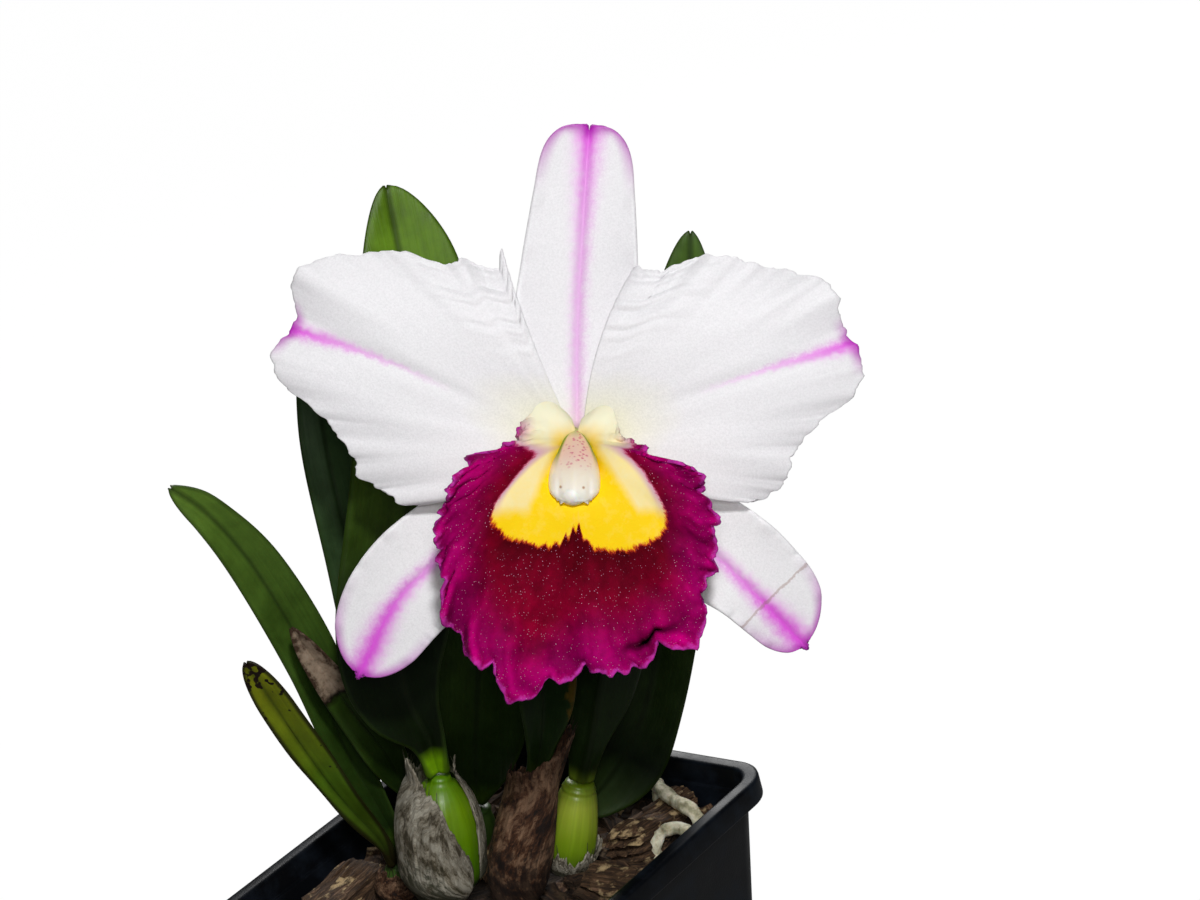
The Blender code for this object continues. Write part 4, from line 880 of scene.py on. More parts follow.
def waxy_column():
    """Column tissue: waxy white, green along its upper edges, with pink dots on its upper third.

    "place" on its points is the share across, the mm down and the share down.
    """
    material, tree, shader = surface(
        "waxy column tissue", Roughness=0.45, Subsurface_Weight=0.3, Subsurface_Scale=0.0015,
        Subsurface_Radius=(1.0, 0.8, 0.5), Coat_Weight=0.15, Coat_Roughness=0.2)
    spot = add(tree, "Attribute", attribute_name="place")
    parts = add(tree, "SeparateXYZ", [(spot, "Vector")])
    place = add(tree, "TexCoord")
    wash = add(tree, "ValToRGB", [(parts, "Z")], stops=[
        (0.0, "#8C9A38"), (0.06, "#C4BC7C"), (0.14, "#E8C8B0"), (0.36, "#EEC8B8"), (0.6, "#F4E8D4"),
        (1.0, "#FAF6EC")])
    # Seen from the front the left edge hides sooner than the right one
    shifted = add(tree, "Math", [(parts, "X"), 0.08], operation="SUBTRACT")
    off = add(tree, "Math", [shifted], operation="ABSOLUTE")
    edge = add(tree, "MapRange", [off, 0.72, 0.88], interpolation_type="SMOOTHSTEP")
    high = add(tree, "MapRange", [(parts, "Z"), 0.6, 0.3], interpolation_type="SMOOTHSTEP")
    green = add(tree, "Math", [edge, high], operation="MULTIPLY")
    edged = add(tree, "Mix", [green, wash, "#7E9228"], data_type="RGBA")
    dots = add(tree, "TexVoronoi", [(place, "Object"), fine(0.8)])
    small = add(tree, "MapRange", [dots, 0.4, 0.24])
    band = add(tree, "MapRange", [(parts, "Z"), 0.62, 0.42], interpolation_type="SMOOTHSTEP")
    centre = add(tree, "MapRange", [off, 0.8, 0.45, 0.0, 0.75], interpolation_type="SMOOTHSTEP")
    few = add(tree, "Math", [small, band], operation="MULTIPLY")
    dotted = add(tree, "Math", [few, centre], operation="MULTIPLY")
    final = add(tree, "Mix", [dotted, edged, "#D04A78"], data_type="RGBA")
    # Two tan marks stand where the cap meets the column
    spots = add(tree, "Attribute", attribute_name="marks")
    mark = add(tree, "MapRange", [
        (spots, "Fac"), 0.34, 0.1, 0.0, 0.8], interpolation_type="SMOOTHSTEP")
    final = add(tree, "Mix", [mark, final, "#B07C4C"], data_type="RGBA")
    cells = add(tree, "TexNoise", [(place, "Object"), fine(0.5), 3.0])
    bump = add(tree, "Bump", {"Strength": 0.2, "Distance": 0.0002, "Height": cells})
    feed(tree, shader, {"Base Color": final, "Normal": bump})
    return material


def waxy_anther():
    """Anther cap: waxy white that light enters, a little creamier in random patches."""
    material, tree, shader = surface(
        "waxy anther cap", Roughness=0.5, Subsurface_Weight=0.3, Subsurface_Scale=0.0012)
    place = add(tree, "TexCoord")
    cells = add(tree, "TexNoise", [(place, "Object"), fine(0.4)])
    colour = add(tree, "Mix", [cells, "#F6F0E2", "#FFFDF8"], data_type="RGBA")
    bump = add(tree, "Bump", {"Strength": 0.15, "Distance": 0.0002, "Height": cells})
    feed(tree, shader, {"Base Color": colour, "Normal": bump})
    return material


def flower_stem(name, low, middle, high):
    """Flower stalk and ovary: smooth living green, paler towards the flower."""
    material, tree, shader = surface(
        name, Roughness=0.36, Subsurface_Weight=0.15, Subsurface_Scale=0.001)
    length = add(tree, "Attribute", attribute_name="along")
    colour = add(tree, "ValToRGB", [(length, "Fac")], stops=[
        (0.0, low), (0.6, middle), (1.0, high)])
    place = add(tree, "TexCoord")
    lines = add(tree, "TexNoise", [(place, "Object"), fine(0.8), 4.0])
    tone = add(tree, "MapRange", [lines, 0.3, 0.7, 0.8, 1.15])
    toned = add(tree, "VectorMath", [colour, tone], operation="SCALE")
    bump = add(tree, "Bump", {"Strength": 0.2, "Distance": 0.0002, "Height": lines})
    feed(tree, shader, {"Base Color": toned, "Normal": bump})
    return material


# Pot and mix

def square_ring(half, z, radius, segments):
    """One level of a square with rounded corners, turned to stand on its corner."""
    turn = np.repeat(np.arange(4), segments + 1) * np.pi / 2
    angle = turn + np.tile(np.linspace(0, np.pi / 2, segments + 1), 4)
    middle = half - radius
    x = middle * (np.cos(turn) - np.sin(turn)) + radius * np.cos(angle)
    y = middle * (np.sin(turn) + np.cos(turn)) + radius * np.sin(angle)
    c = math.cos(math.pi / 4)
    return np.stack([(x - y) * c, (x + y) * c, np.full_like(x, z)], -1)


def pot_half(z):
    return POT_BASE_HALF + z * math.tan(POT_TAPER)


def inner_half(z):
    return pot_half(z) - POT_WALL


def rounded(profile, radius, steps=4):
    """A profile of levels with its corners rounded by up to this radius."""
    profile = np.asarray(profile, float)
    out = [profile[0]]
    for before, here, after in zip(profile, profile[1:], profile[2:]):
        back, ahead = before - here, after - here
        reach = min(radius, np.linalg.norm(back[:2]) * 0.45, np.linalg.norm(ahead[:2]) * 0.45)
        a = here + back / max(np.linalg.norm(back[:2]), 1e-6) * reach
        b = here + ahead / max(np.linalg.norm(ahead[:2]), 1e-6) * reach
        for t in np.linspace(0, 1, steps):
            out.append(a * (1 - t) ** 2 + here * 2 * t * (1 - t) + b * t * t)
    out.append(profile[-1])
    return out


def build_pot(settings):
    """Tapered moulded shell with a folded rim, an inner ledge and drain holes in its floor."""
    flange_z = POT_HEIGHT - 1.4
    lip_inside = RIM_HALF - 1.1
    profile = (
        (POT_BASE_HALF - 0.9, 0.0, CORNER_RADIUS - 1.8),
        (POT_BASE_HALF, 0.35, CORNER_RADIUS - 1.2),
        (pot_half(flange_z), flange_z, CORNER_RADIUS - 1.0),
        (lip_inside, flange_z, CORNER_RADIUS + 0.2),
        (lip_inside, POT_HEIGHT - RIM_DEPTH, CORNER_RADIUS + 0.2),
        (RIM_HALF, POT_HEIGHT - RIM_DEPTH, CORNER_RADIUS + 1.0),
        (RIM_HALF, POT_HEIGHT, CORNER_RADIUS + 1.0),
        (RIM_INNER_HALF, POT_HEIGHT, CORNER_RADIUS - 1.6),
        (RIM_INNER_HALF - 0.2, LEDGE_Z, CORNER_RADIUS - 1.6),
        (inner_half(LEDGE_Z), LEDGE_Z, CORNER_RADIUS - 2.0),
        (inner_half(POT_FLOOR), POT_FLOOR, CORNER_RADIUS - 2.4),
        (inner_half(POT_FLOOR) - 0.9, POT_FLOOR, CORNER_RADIUS - 2.8),
    )
    rings = np.stack([square_ring(*level, 12) for level in rounded(profile, 0.75)])
    mesh = shell("pot_shell", rings)
    obj = bpy.data.objects.new("pot_shell", mesh)
    bpy.context.scene.collection.objects.link(obj)
    cutters = bpy.data.collections.new("drain_cutters")
    for sx in (-1, 1):
        for sy in (-1, 1):
            bm = bmesh.new()
            bmesh.ops.create_cone(bm, cap_ends=True, segments=32, depth=6 * MM,
                                  radius1=DRAIN_RADIUS * MM, radius2=DRAIN_RADIUS * MM)
            place = Matrix.Rotation(math.pi / 4, 3, "Z") @ Vector(
                (sx * DRAIN_OFFSET * MM, sy * DRAIN_OFFSET * MM, 0.0))
            bmesh.ops.translate(bm, vec=place, verts=bm.verts)
            hole = bpy.data.meshes.new("drain_cutter")
            bm.to_mesh(hole)
            bm.free()
            cutters.objects.link(bpy.data.objects.new("drain_cutter", hole))
    boolean = obj.modifiers.new("drain holes", "BOOLEAN")
    boolean.operation = "DIFFERENCE"
    boolean.operand_type = "COLLECTION"
    boolean.collection = cutters
    made = evaluated_mesh(obj)
    for helper in list(cutters.objects):
        bpy.data.objects.remove(helper, do_unlink=True)
    bpy.data.collections.remove(cutters)
    made.shade_smooth()
    made.set_sharp_from_angle(angle=math.radians(38.0))
    piece("pot_shell", made, ["pot"], moulded_polypropylene(settings))


def uneven_height(x, y, seed):
    """Seeded bumps of a few mm over the ground."""
    rng = np.random.default_rng(seed)
    total = np.zeros_like(x)
    for wave, weight in ((14.0, 1.0), (8.0, 0.8), (4.6, 0.55), (2.7, 0.3)):
        for _ in range(3):
            way = rng.uniform(0, 6.28)
            total += weight / 3 * np.sin(
                2 * np.pi * (x * np.cos(way) + y * np.sin(way)) / wave + rng.uniform(0, 6.28))
    return total


def ground(count, share):
    """Points of the mix's top as rings from its edge to its middle, in mm."""
    rings = []
    for s in np.linspace(share, 0.0, count):
        ring = square_ring(max(inner_half(MIX_TOP) * s, 0.05), 0.0, max(4.0 * s, 0.02), 14)
        rings.append(ring)
    rings = np.stack(rings)
    rings[..., 2] = MIX_TOP - 1.0 + 0.9 * uneven_height(rings[..., 0], rings[..., 1], 3)
    return rings


def chip_tree():
    """Scatters broken chips over a surface. Each is a block, turned, scaled and broken unevenly."""
    tree, start = node_tree("scattered bark chips", {
        "Least gap": "Float", "Length": "Float", "Seed": "Int", "Finish": "Material"})
    room = add(tree, "GeometryNodeInputNamedAttribute", {"Name": "room"}, data_type="FLOAT")
    points = add(tree, "GeometryNodeDistributePointsOnFaces", {
        "Mesh": (start, "Geometry"), "Distance Min": (start, "Least gap"), "Density Max": 400000.0,
        "Density Factor": room, "Seed": (start, "Seed")}, distribute_method="POISSON")
    block = add(tree, "GeometryNodeMeshCube", {
        "Size": (1.0, 1.0, 1.0), "Vertices X": 5, "Vertices Y": 4, "Vertices Z": 3})
    spin = add(tree, "FunctionNodeRandomValue", {
        "Min": (-0.45, -0.4, 0.0), "Max": (0.45, 0.4, 6.28),
        "Seed": (start, "Seed")}, data_type="FLOAT_VECTOR")
    stretch = add(tree, "FunctionNodeRandomValue", {
        "Min": (0.4, 0.28, 0.2), "Max": (1.0, 0.62, 0.42),
        "Seed": (start, "Seed")}, data_type="FLOAT_VECTOR")
    scale = add(tree, "VectorMath", [stretch, (start, "Length")], operation="SCALE")
    where = add(tree, "GeometryNodeInputPosition")
    grained = add(tree, "GeometryNodeStoreNamedAttribute", {
        "Geometry": block, "Name": "grain",
        "Value": where}, data_type="FLOAT_VECTOR", domain="POINT")
    placed = add(tree, "GeometryNodeInstanceOnPoints", {
        "Points": points, "Instance": grained, "Rotation": spin, "Scale": scale})
    lot = add(tree, "FunctionNodeRandomValue", {"Seed": (start, "Seed")}, data_type="FLOAT")
    marked = add(tree, "GeometryNodeStoreNamedAttribute", {
        "Geometry": placed, "Name": "shade", "Value": lot}, data_type="FLOAT", domain="INSTANCE")
    real = add(tree, "GeometryNodeRealizeInstances", {"Geometry": marked})
    there = add(tree, "GeometryNodeInputPosition")
    rough = add(tree, "TexNoise", [there, fine(2.2)])
    centred = add(tree, "VectorMath", [(rough, "Color"), (0.5, 0.5, 0.5)], operation="SUBTRACT")
    push = add(tree, "VectorMath", [centred, 0.0042], operation="SCALE")
    broken = add(tree, "GeometryNodeSetPosition", {"Geometry": real, "Offset": push})
    local = add(tree, "GeometryNodeInputNamedAttribute", {
        "Name": "grain"}, data_type="FLOAT_VECTOR")
    # The pattern on a chip takes its own local place in mm, shifted by its lot
    lots = add(tree, "GeometryNodeInputNamedAttribute", {"Name": "shade"}, data_type="FLOAT")
    sized = add(tree, "VectorMath", [local, (6.0, 4.0, 3.0), lots], operation="MULTIPLY_ADD")
    regrained = add(tree, "GeometryNodeStoreNamedAttribute", {
        "Geometry": broken, "Name": "grain",
        "Value": sized}, data_type="FLOAT_VECTOR", domain="POINT")
    finished = add(tree, "GeometryNodeSetMaterial", {
        "Geometry": regrained, "Material": (start, "Finish")})
    add(tree, "NodeGroupOutput", {"Geometry": finished})
    return tree


def big_chip(middle, size, turn, seed):
    """Points, faces, grain and shade of one large piece of bark with layered, ragged ends."""
    bm = bmesh.new()
    bmesh.ops.create_cube(bm, size=1.0)
    bmesh.ops.subdivide_edges(bm, edges=bm.edges[:], cuts=13, use_grid_fill=True)
    bm.verts.ensure_lookup_table()
    unit_points = np.array([v.co[:] for v in bm.verts])
    faces = [[v.index for v in face.verts] for face in bm.faces]
    bm.free()
    # A rounded block: the cube is drawn in towards an ellipsoid at its corners
    grown = unit_points * 2
    size = np.array(size)
    power = 5.0
    length = (np.abs(grown) ** power).sum(-1, keepdims=True) ** (1 / power)
    p = grown / length * size / 2 * 1.03
    x, y, z = p.T
    rng = np.random.default_rng(seed)
    shift = rng.uniform(0, 50, 6)
    ends = np.abs(grown[:, 0]) ** 6
    p[:, 0] += ends * 1.2 * np.sin(z * 4.2 + shift[0]) * np.sign(x)
    p[:, 2] += 0.2 * np.sin(y * 2.3 + 0.3 * x + shift[1]) + 0.1 * np.sin(
        y * 5.4 + 0.5 * x + shift[2])
    p[:, 1] += 0.4 * np.sin(z * 3.6 + 0.1 * x + shift[3]) + 0.35 * np.sin(x * 0.6 + shift[4])
    p[:, 2] += 0.5 * np.sin(x * 0.42 + shift[5])
    grain = p + shift[0]
    tilt = rng.uniform(-0.2, 0.2, 2)
    spin = np.array((Matrix.Rotation(math.radians(turn), 3, "Z")
                     @ Matrix.Rotation(tilt[1], 3, "Y") @ Matrix.Rotation(tilt[0], 3, "X")))
    return p @ spin.T + np.array(middle), faces, grain, np.full(len(p), rng.uniform(0.85, 1.3))


def kept_inside(mesh):
    """Moves whatever of a mesh would reach through the pot's wall back inside it."""
    flat = np.empty(len(mesh.vertices) * 3, np.float32)
    mesh.vertices.foreach_get("co", flat)
    points = flat.reshape(-1, 3) / MM
    c = math.cos(math.pi / 4)
    x, y, z = points.T
    sides = np.stack([(x + y) * c, (y - x) * c], -1)
    radius = CORNER_RADIUS - 2.4
    middle = (inner_half(z) - 0.3 - radius)[:, None]
    over = sides - np.clip(sides, -middle, middle)
    far = np.linalg.norm(over, axis=-1, keepdims=True)
    sides = sides - over * (1.0 - np.minimum(1.0, radius / np.maximum(far, 1e-6)))
    a, b = sides.T
    kept = np.stack([(a - b) * c, (a + b) * c, z], -1) * MM
    mesh.vertices.foreach_set("co", kept.astype(np.float32).ravel())
    mesh.update()


def build_mix(settings):
    """Bark mix that fills the pot: its body, the chips scattered over it and the big ones."""
    bark = fir_bark(settings)
    low, above = POT_FLOOR, POT_FLOOR + 1.0
    sides = [
        square_ring(inner_half(low) - 0.6 - MIX_GAP, low + MIX_GAP, CORNER_RADIUS - 2.8, 14),
        square_ring(inner_half(above) - MIX_GAP, above + MIX_GAP, CORNER_RADIUS - 2.4, 14)]
    for z in np.linspace(6.0, MIX_TOP - 2.5, 24):
        sides.append(square_ring(inner_half(z) - MIX_GAP, z, CORNER_RADIUS - 2.4, 14))
    top = ground(40, 0.985)
    rings = np.concatenate([np.stack(sides), top])
    grain = rings * 0.9
    body = shell("mix_body", rings, {
        "grain": grain, "shade": np.full(rings.shape[:2], 0.12)})
    # Loose chips keep clear of every stem that stands in the mix
    rows = ground(46, 0.88)
    x, y = rows[..., 0], rows[..., 1]
    room = np.ones_like(x)
    for foot, apex, radius, _ in BULBS.values():
        for share in (0.0, 0.25):
            bx = foot[0] + (apex[0] - foot[0]) * share
            by = foot[1] + (apex[1] - foot[1]) * share
            room = np.minimum(room, eased(radius + 2.0, radius + 3.4, np.hypot(x - bx, y - by)))
    rows[..., 2] += 0.5
    at = np.arange(rows[..., 0].size).reshape(x.shape)
    wrap = np.roll(at, -1, axis=1)
    quads = np.stack([at[:-1], wrap[:-1], wrap[1:], at[1:]], -1).reshape(-1, 4).tolist()
    cover = mesh_of("mix_cover", rows.reshape(-1, 3), quads, None, {"room": room.ravel()})
    loose = through_nodes("mix_chips", cover, chip_tree(), {
        "Least gap": settings.chip_gap, "Length": settings.chip_length,
        "Seed": settings.chip_seed, "Finish": bark})
    kept_inside(loose)
    points, faces, grains, shades, count = [], [], [], [], 0
    for i, (middle, size, turn) in enumerate(BIG_CHIPS):
        p, f, g, s = big_chip(middle, size, turn, 20 + i)
        points.append(p)
        faces += [[v + count for v in face] for face in f]
        grains.append(g)
        shades.append(s)
        count += len(p)
    big = mesh_of("big_chips", np.concatenate(points), faces, None, {
        "grain": np.concatenate(grains), "shade": np.concatenate(shades)})
    big.set_sharp_from_angle(angle=math.radians(50.0))
    piece("mix_body", body, ["potting_mix"], bark)
    piece("mix_chips", loose, ["potting_mix"])
    piece("big_bark_chips", big, ["potting_mix"], bark)


# Stems

def bulb_axis(name):
    """Where a leaning pseudobulb stands on the rhizome, and the line to its apex."""
    foot, apex, radius, form = BULBS[name]
    base = np.array((*foot, RHIZOME_Z + RHIZOME_RADIUS + 0.3))
    lean = unit(np.array(apex) - base)
    base[2] += radius * form[0] * math.hypot(lean[0], lean[1])
    return base, np.array(apex) - base


def bulb_radius(name, t):
    """Radius of a pseudobulb at a share t of its height."""
    return BULBS[name][2] * between(BULBS[name][3], t)


def upright_to(axis):
    """The turn that takes straight up to this axis."""
    return np.array(Vector((0, 0, 1)).rotation_difference(Vector(axis).normalized()).to_matrix())


def build_bulb(name, material, slot):
    """Swollen stem with faint ribs, a pinched node ring under its apex and a rounded top."""
    base, axis = bulb_axis(name)
    length = np.linalg.norm(axis)
    angle = np.linspace(0, 2 * np.pi, 72, endpoint=False)
    t = np.linspace(0, 1, 64)
    radius = bulb_radius(name, np.minimum(t, 0.95))
    neck = bulb_radius(name, 1.0) * 1.06
    radius = radius + (neck - radius) * eased(0.9, 0.965, t)
    radius += 0.28 * np.exp(-((t - 0.93) / 0.012) ** 2) - 0.2 * np.exp(-((t - 0.9) / 0.012) ** 2)
    radius *= np.sqrt(np.clip(1 - (np.clip(t - 0.975, 0, 1) / 0.03) ** 2, 0.35, 1))
    seed = sum(map(ord, name))
    ribs = 0.5 + 0.5 * np.sin(9 * angle + seed)
    rib = 1 - 0.035 * ribs[None, :] * (np.sin(np.pi * np.clip(t * 1.08, 0, 1)))[:, None]
    swell = 1 + 0.02 * np.sin(2 * angle[None, :] + 5 * t[:, None] + seed)
    r = radius[:, None] * rib * swell
    local = np.stack([np.cos(angle) * r, np.sin(angle) * r,
                      np.broadcast_to((t * length)[:, None], r.shape)], -1)
    rings = local @ upright_to(axis).T + base
    spot = np.stack([np.broadcast_to(np.cos(angle), r.shape) + seed,
                     np.broadcast_to(np.sin(angle), r.shape),
                     np.broadcast_to(t[:, None], r.shape)], -1)
    piece(name + "_skin", shell(name, rings, {"place": spot}), [name], material)


def stem_tree():
    """Turns a curve into a round stem with knobs on it, from the curve's own radii."""
    tree, start = node_tree("round stem with knobs", {
        "Sides": "Int", "Step": "Float", "Knob height": "Float", "Knob size": "Float",
        "Finish": "Material"})
    even = add(tree, "GeometryNodeResampleCurve", {
        "Curve": (start, "Geometry"), "Length": (start, "Step")}, mode="LENGTH")
    share = add(tree, "GeometryNodeSplineParameter")
    marked = add(tree, "GeometryNodeStoreNamedAttribute", {
        "Geometry": even, "Name": "along", "Value": share}, data_type="FLOAT", domain="POINT")
    ring = add(tree, "GeometryNodeCurvePrimitiveCircle", {
        "Resolution": (start, "Sides"), "Radius": MM})
    width = add(tree, "GeometryNodeInputRadius")
    tube = add(tree, "GeometryNodeCurveToMesh", {
        "Curve": marked, "Profile Curve": ring, "Scale": width, "Fill Caps": True})
    where = add(tree, "GeometryNodeInputPosition")
    size = add(tree, "Math", [1.0, (start, "Knob size")], operation="DIVIDE")
    knobs = add(tree, "TexNoise", [where, size, 3.0])
    centred = add(tree, "Math", [knobs, 0.5], operation="SUBTRACT")
    raised = add(tree, "Math", [centred, (start, "Knob height")], operation="MULTIPLY")
    out = add(tree, "GeometryNodeInputNormal")
    push = add(tree, "VectorMath", [out, raised], operation="SCALE")
    knobbed = add(tree, "GeometryNodeSetPosition", {"Geometry": tube, "Offset": push})
    smooth = add(tree, "GeometryNodeSetShadeSmooth", {"Geometry": knobbed})
    real = add(tree, "GeometryNodeRealizeInstances", {"Geometry": smooth})
    finished = add(tree, "GeometryNodeSetMaterial", {
        "Geometry": real, "Material": (start, "Finish")})
    add(tree, "NodeGroupOutput", {"Geometry": finished})
    return tree


def stem_curve(name, lines):
    """A curve of one spline for each line of points and radii in mm."""
    curve = bpy.data.curves.new(name, "CURVE")
    curve.dimensions = "3D"
    for points, radii in lines:
        spline = curve.splines.new("POLY")
        spline.points.add(len(points) - 1)
        for place, point, radius in zip(spline.points, points, radii):
            place.co = (*(np.asarray(point) * MM), 1.0)
            place.radius = float(radius)
    return curve


def flower_to_frame(points):
    """Points of the flower's own axes, in the frame's axes."""
    turn = Matrix.Rotation(-FLOWER_NOD, 3, "X") @ Matrix.Rotation(FLOWER_LEAN, 3, "Y")
    return points @ np.array(turn).T + np.array(FLOWER_AT)


def build_stems(settings):
    """The pseudobulbs, the rhizome that joins them, the roots and the flower's stalk."""
    lime = waxy_stem("waxy young pseudobulb", "#1E3C02", settings.lime, "#6A8E06")
    yellow = waxy_stem("waxy ripening pseudobulb", "#4A7204", "#7C9A16", "#A6B63A", 0.5)
    # The old pseudobulbs' dark greens are partly their own colour and partly painted shade, where
    # they stand deep among the leaves
    green = waxy_stem("waxy old pseudobulb", "#263C10", "#304C16", "#3E5C20")
    kinds = {"pseudobulb_a": (lime, "pseudobulb_lime"),
             "pseudobulb_c": (yellow, "pseudobulb_yellow_green")}
    for name in BULBS:
        build_bulb(name, *kinds.get(name, (green, "pseudobulb_green")))
    tree = stem_tree()
    chain = between([(x, y, RHIZOME_Z) for x, y in RHIZOME], np.linspace(0, 1, 10))
    radii = [RHIZOME_RADIUS] * len(chain)
    mesh = through_nodes("rhizome_stem", stem_curve("rhizome", [(chain, radii)]), tree, {
        "Sides": 20, "Step": 0.0008, "Knob height": 0.0007, "Knob size": 0.0022,
        "Finish": rhizome_bracts()})
    piece("rhizome_stem", mesh, ["rhizome"])
    skin = root_velamen()
    for name, (points, radius) in ROOTS.items():
        line = between(points, np.linspace(0, 1, 13))
        knobs = radius * (1.0 + 0.14 * np.sin(np.arange(13) * 2.3))
        t = np.linspace(0, 1, 60)
        mesh = through_nodes(
            name + "_skin", stem_curve(name, [(between(line, t), between(knobs, t))]), tree, {
                "Sides": 20, "Step": 0.0004, "Knob height": 0.0009, "Knob size": 0.0016,
                "Finish": skin})
        piece(name + "_skin", mesh, [name])
    into = flower_to_frame(np.array([RECEPTACLE_AT + (0.0, y, 0.0) for y in RECEPTACLE_LEVELS]))
    line = between(np.array([*STALK, into[0]]), np.linspace(0, 1, 10))
    t = np.linspace(0, 1, 60)
    points = np.concatenate([between(line, t), into[1:]])
    radii = np.concatenate([between(STALK_RADII, t), RECEPTACLE_RADII])
    stalk = flower_stem("smooth flower stem", "#24380E", "#3C5A18", "#8CA850")
    # The disc is painted much paler than the stalk as painted light, where it sits in the shade of
    # the flower's parts
    painted_light_receptacle = flower_stem("smooth pale receptacle", "#8CA850", "#C6CC92", "#E2E2BC")
    # The stalk and the disc are swept apart, so that the disc keeps its edge
    mesh = through_nodes("flower_stalk_stem", stem_curve("stalk", [(points[:61], radii[:61])]),
                         tree, {"Sides": 24, "Step": 0.0006, "Knob height": 0.00025,
                                "Knob size": 0.0018, "Finish": stalk})
    disc = through_nodes("flower_stalk_disc", stem_curve("disc", [(points[60:], radii[60:])]),
                         tree, {"Sides": 32, "Step": 0.0002, "Knob height": 0.0001,
                                "Knob size": 0.0018, "Finish": painted_light_receptacle})
    piece("flower_stalk_stem", mesh, ["flower_stalk"])
    piece("flower_stalk_disc", disc, ["flower_stalk"])


# Sheaths

def sheath_point(name, across, rise, seed):
    """Points of a sheath, and its radius at them: across and rise each run from 0 to 1."""
    bulb, start, sweep, low, tops, stand_off, tear = SHEATHS[name]
    base, axis = bulb_axis(bulb)
    length = np.linalg.norm(axis)
    columns = round(sweep / 24.0) + 2
    angle = np.radians(start + sweep * across)
    top = between(tops, across) + tear * np.sin(across * columns * 2.4)
    top = top + tear * (0.9 * uneven(across, 13, seed) + 0.5 * uneven(across, 41, seed + 1))
    t = low + (top - low) * rise
    held = np.minimum(t, 1.0)
    radius = bulb_radius(bulb, held) + between(stand_off, held) - 0.1
    radius = radius + np.maximum(t - 1.0, 0.0) * length * SHEATH_FLARE
    crumple = 0.1 * uneven(across, 17, seed + 2) + 0.05 * uneven(across, 47, seed + 3)
    radius = radius + rise * crumple
    radius = radius + 0.1 * uneven(across * 3 + rise * 2, 2.2, seed + 4) * rise
    local = np.stack([np.cos(angle) * radius, np.sin(angle) * radius, t * length], -1)
    return local @ upright_to(axis).T + base, radius


def build_sheaths(settings):
    """Papery sheaths, finely torn along their upper edges, with loose fibres."""
    # Each finish's last value darkens its upper end as painted shadow
    grey = papery_sheath("weathered papery sheath", settings.papery, "#857D6C", "#4A4232",
                         "#22280E", 0.85)
    brown = papery_sheath("dry brown sheath", settings.brown, "#4A2C18", "#1A0C05", "#140A06", 0.9)
    tree = stem_tree()
    for i, name in enumerate(SHEATHS):
        seed = 40 + 7 * i
        sweep = SHEATHS[name][2]
        columns, rows = max(40, int(sweep * 0.62)), 44
        across, rise = np.meshgrid(np.linspace(0, 1, columns), np.linspace(0, 1, rows))
        points, radius = sheath_point(name, across, rise, seed)
        wide = np.radians(sweep) * radius * across
        high = rise * 22.0
        paper = brown if name in ("sheath_b", "sheath_e", "sheath_f") else grey
        mesh = blade(name, points[::-1], 0.42, {
            "place": np.stack([wide, high, rise], -1)[::-1]})
        piece(name + "_paper", mesh, [name], paper)
        rng = np.random.default_rng(seed)
        lines = []
        for _ in range(int(sweep / 16) + 3):
            a = rng.uniform(0.03, 0.97)
            s = np.linspace(0.55, 1.0, 14)
            p, _ = sheath_point(name, np.full(14, a) + 0.01 * np.sin(s * 9), s, seed)
            out = unit(p[-1] - p[-4])
            stray = rng.uniform(-0.5, 0.5, 3)
            ends = np.array([p[-1] + (out + stray * k * 0.12) * k for k in (0.5, 1.1, 1.8)])
            lines.append((np.concatenate([p, ends]), np.linspace(0.14, 0.05, 17)))
        fibres = through_nodes(name + "_fibres", stem_curve(name, lines), tree, {
            "Sides": 5, "Step": 0.0006, "Knob height": 0.0, "Knob size": 0.002, "Finish": paper})
        piece(name + "_fibres", fibres, [name])


# Leaves and sepals

def strap(path, left, right, facing, fold, rows, columns, crease, wave, waves, blunt, notch=0.0,
          square=2.0):
    """Grid of points of a blade along a path, with mm across, mm along and mm from its edge."""
    t = 1.0 - (1.0 - np.linspace(0, 1, rows)) ** 1.25
    share = np.linspace(-1, 1, columns)
    middle = between(path, t)
    before, after = np.maximum(t - 0.02, 0.0), np.minimum(t + 0.02, 1.0)
    ahead = unit(between(path, after) - between(path, before))
    side = unit(np.cross(ahead, between(facing, t)))
    out = np.cross(side, ahead)
    tip = np.ones_like(t)
    end = t > 1.0 - blunt
    tip[end] = np.maximum(0.0, 1.0 - ((t[end] - 1.0 + blunt) / blunt) ** square) ** (1.0 / square)
    angle = np.radians(between(fold, t))[:, None]
    half = np.where(share[None, :] < 0, between(left, t)[:, None], between(right, t)[:, None])
    half = np.maximum(half * tip[:, None], 0.45)
    phase = np.where(share < 0, 1.7, 0.0)[None, :]
    ripple = wave * share[None, :] ** 2 * np.sin(2 * np.pi * waves * t[:, None] + phase)
    soft = np.sqrt(share[None, :] ** 2 + 0.006) - math.sqrt(0.006)
    lift = half * np.sin(angle) * soft ** crease + ripple * tip[:, None]
    across = share[None, :] * half * np.cos(angle)
    points = middle[:, None] + side[:, None] * across[..., None] + out[:, None] * lift[..., None]
    if notch:
        back = notch * np.exp(-(share / 0.3) ** 2)[None, :] * eased(1 - blunt, 1.0, t)[:, None]
        points = points - ahead[:, None] * back[..., None]
    step = np.linalg.norm(np.diff(middle, axis=0), axis=-1)
    run = np.concatenate([[0.0], np.cumsum(step)])
    along = np.broadcast_to(run[:, None], half.shape)
    edge = np.minimum(half * (1 - np.abs(share[None, :])), run[-1] - along)
    return points, across, along, edge, np.broadcast_to(t[:, None], half.shape), share


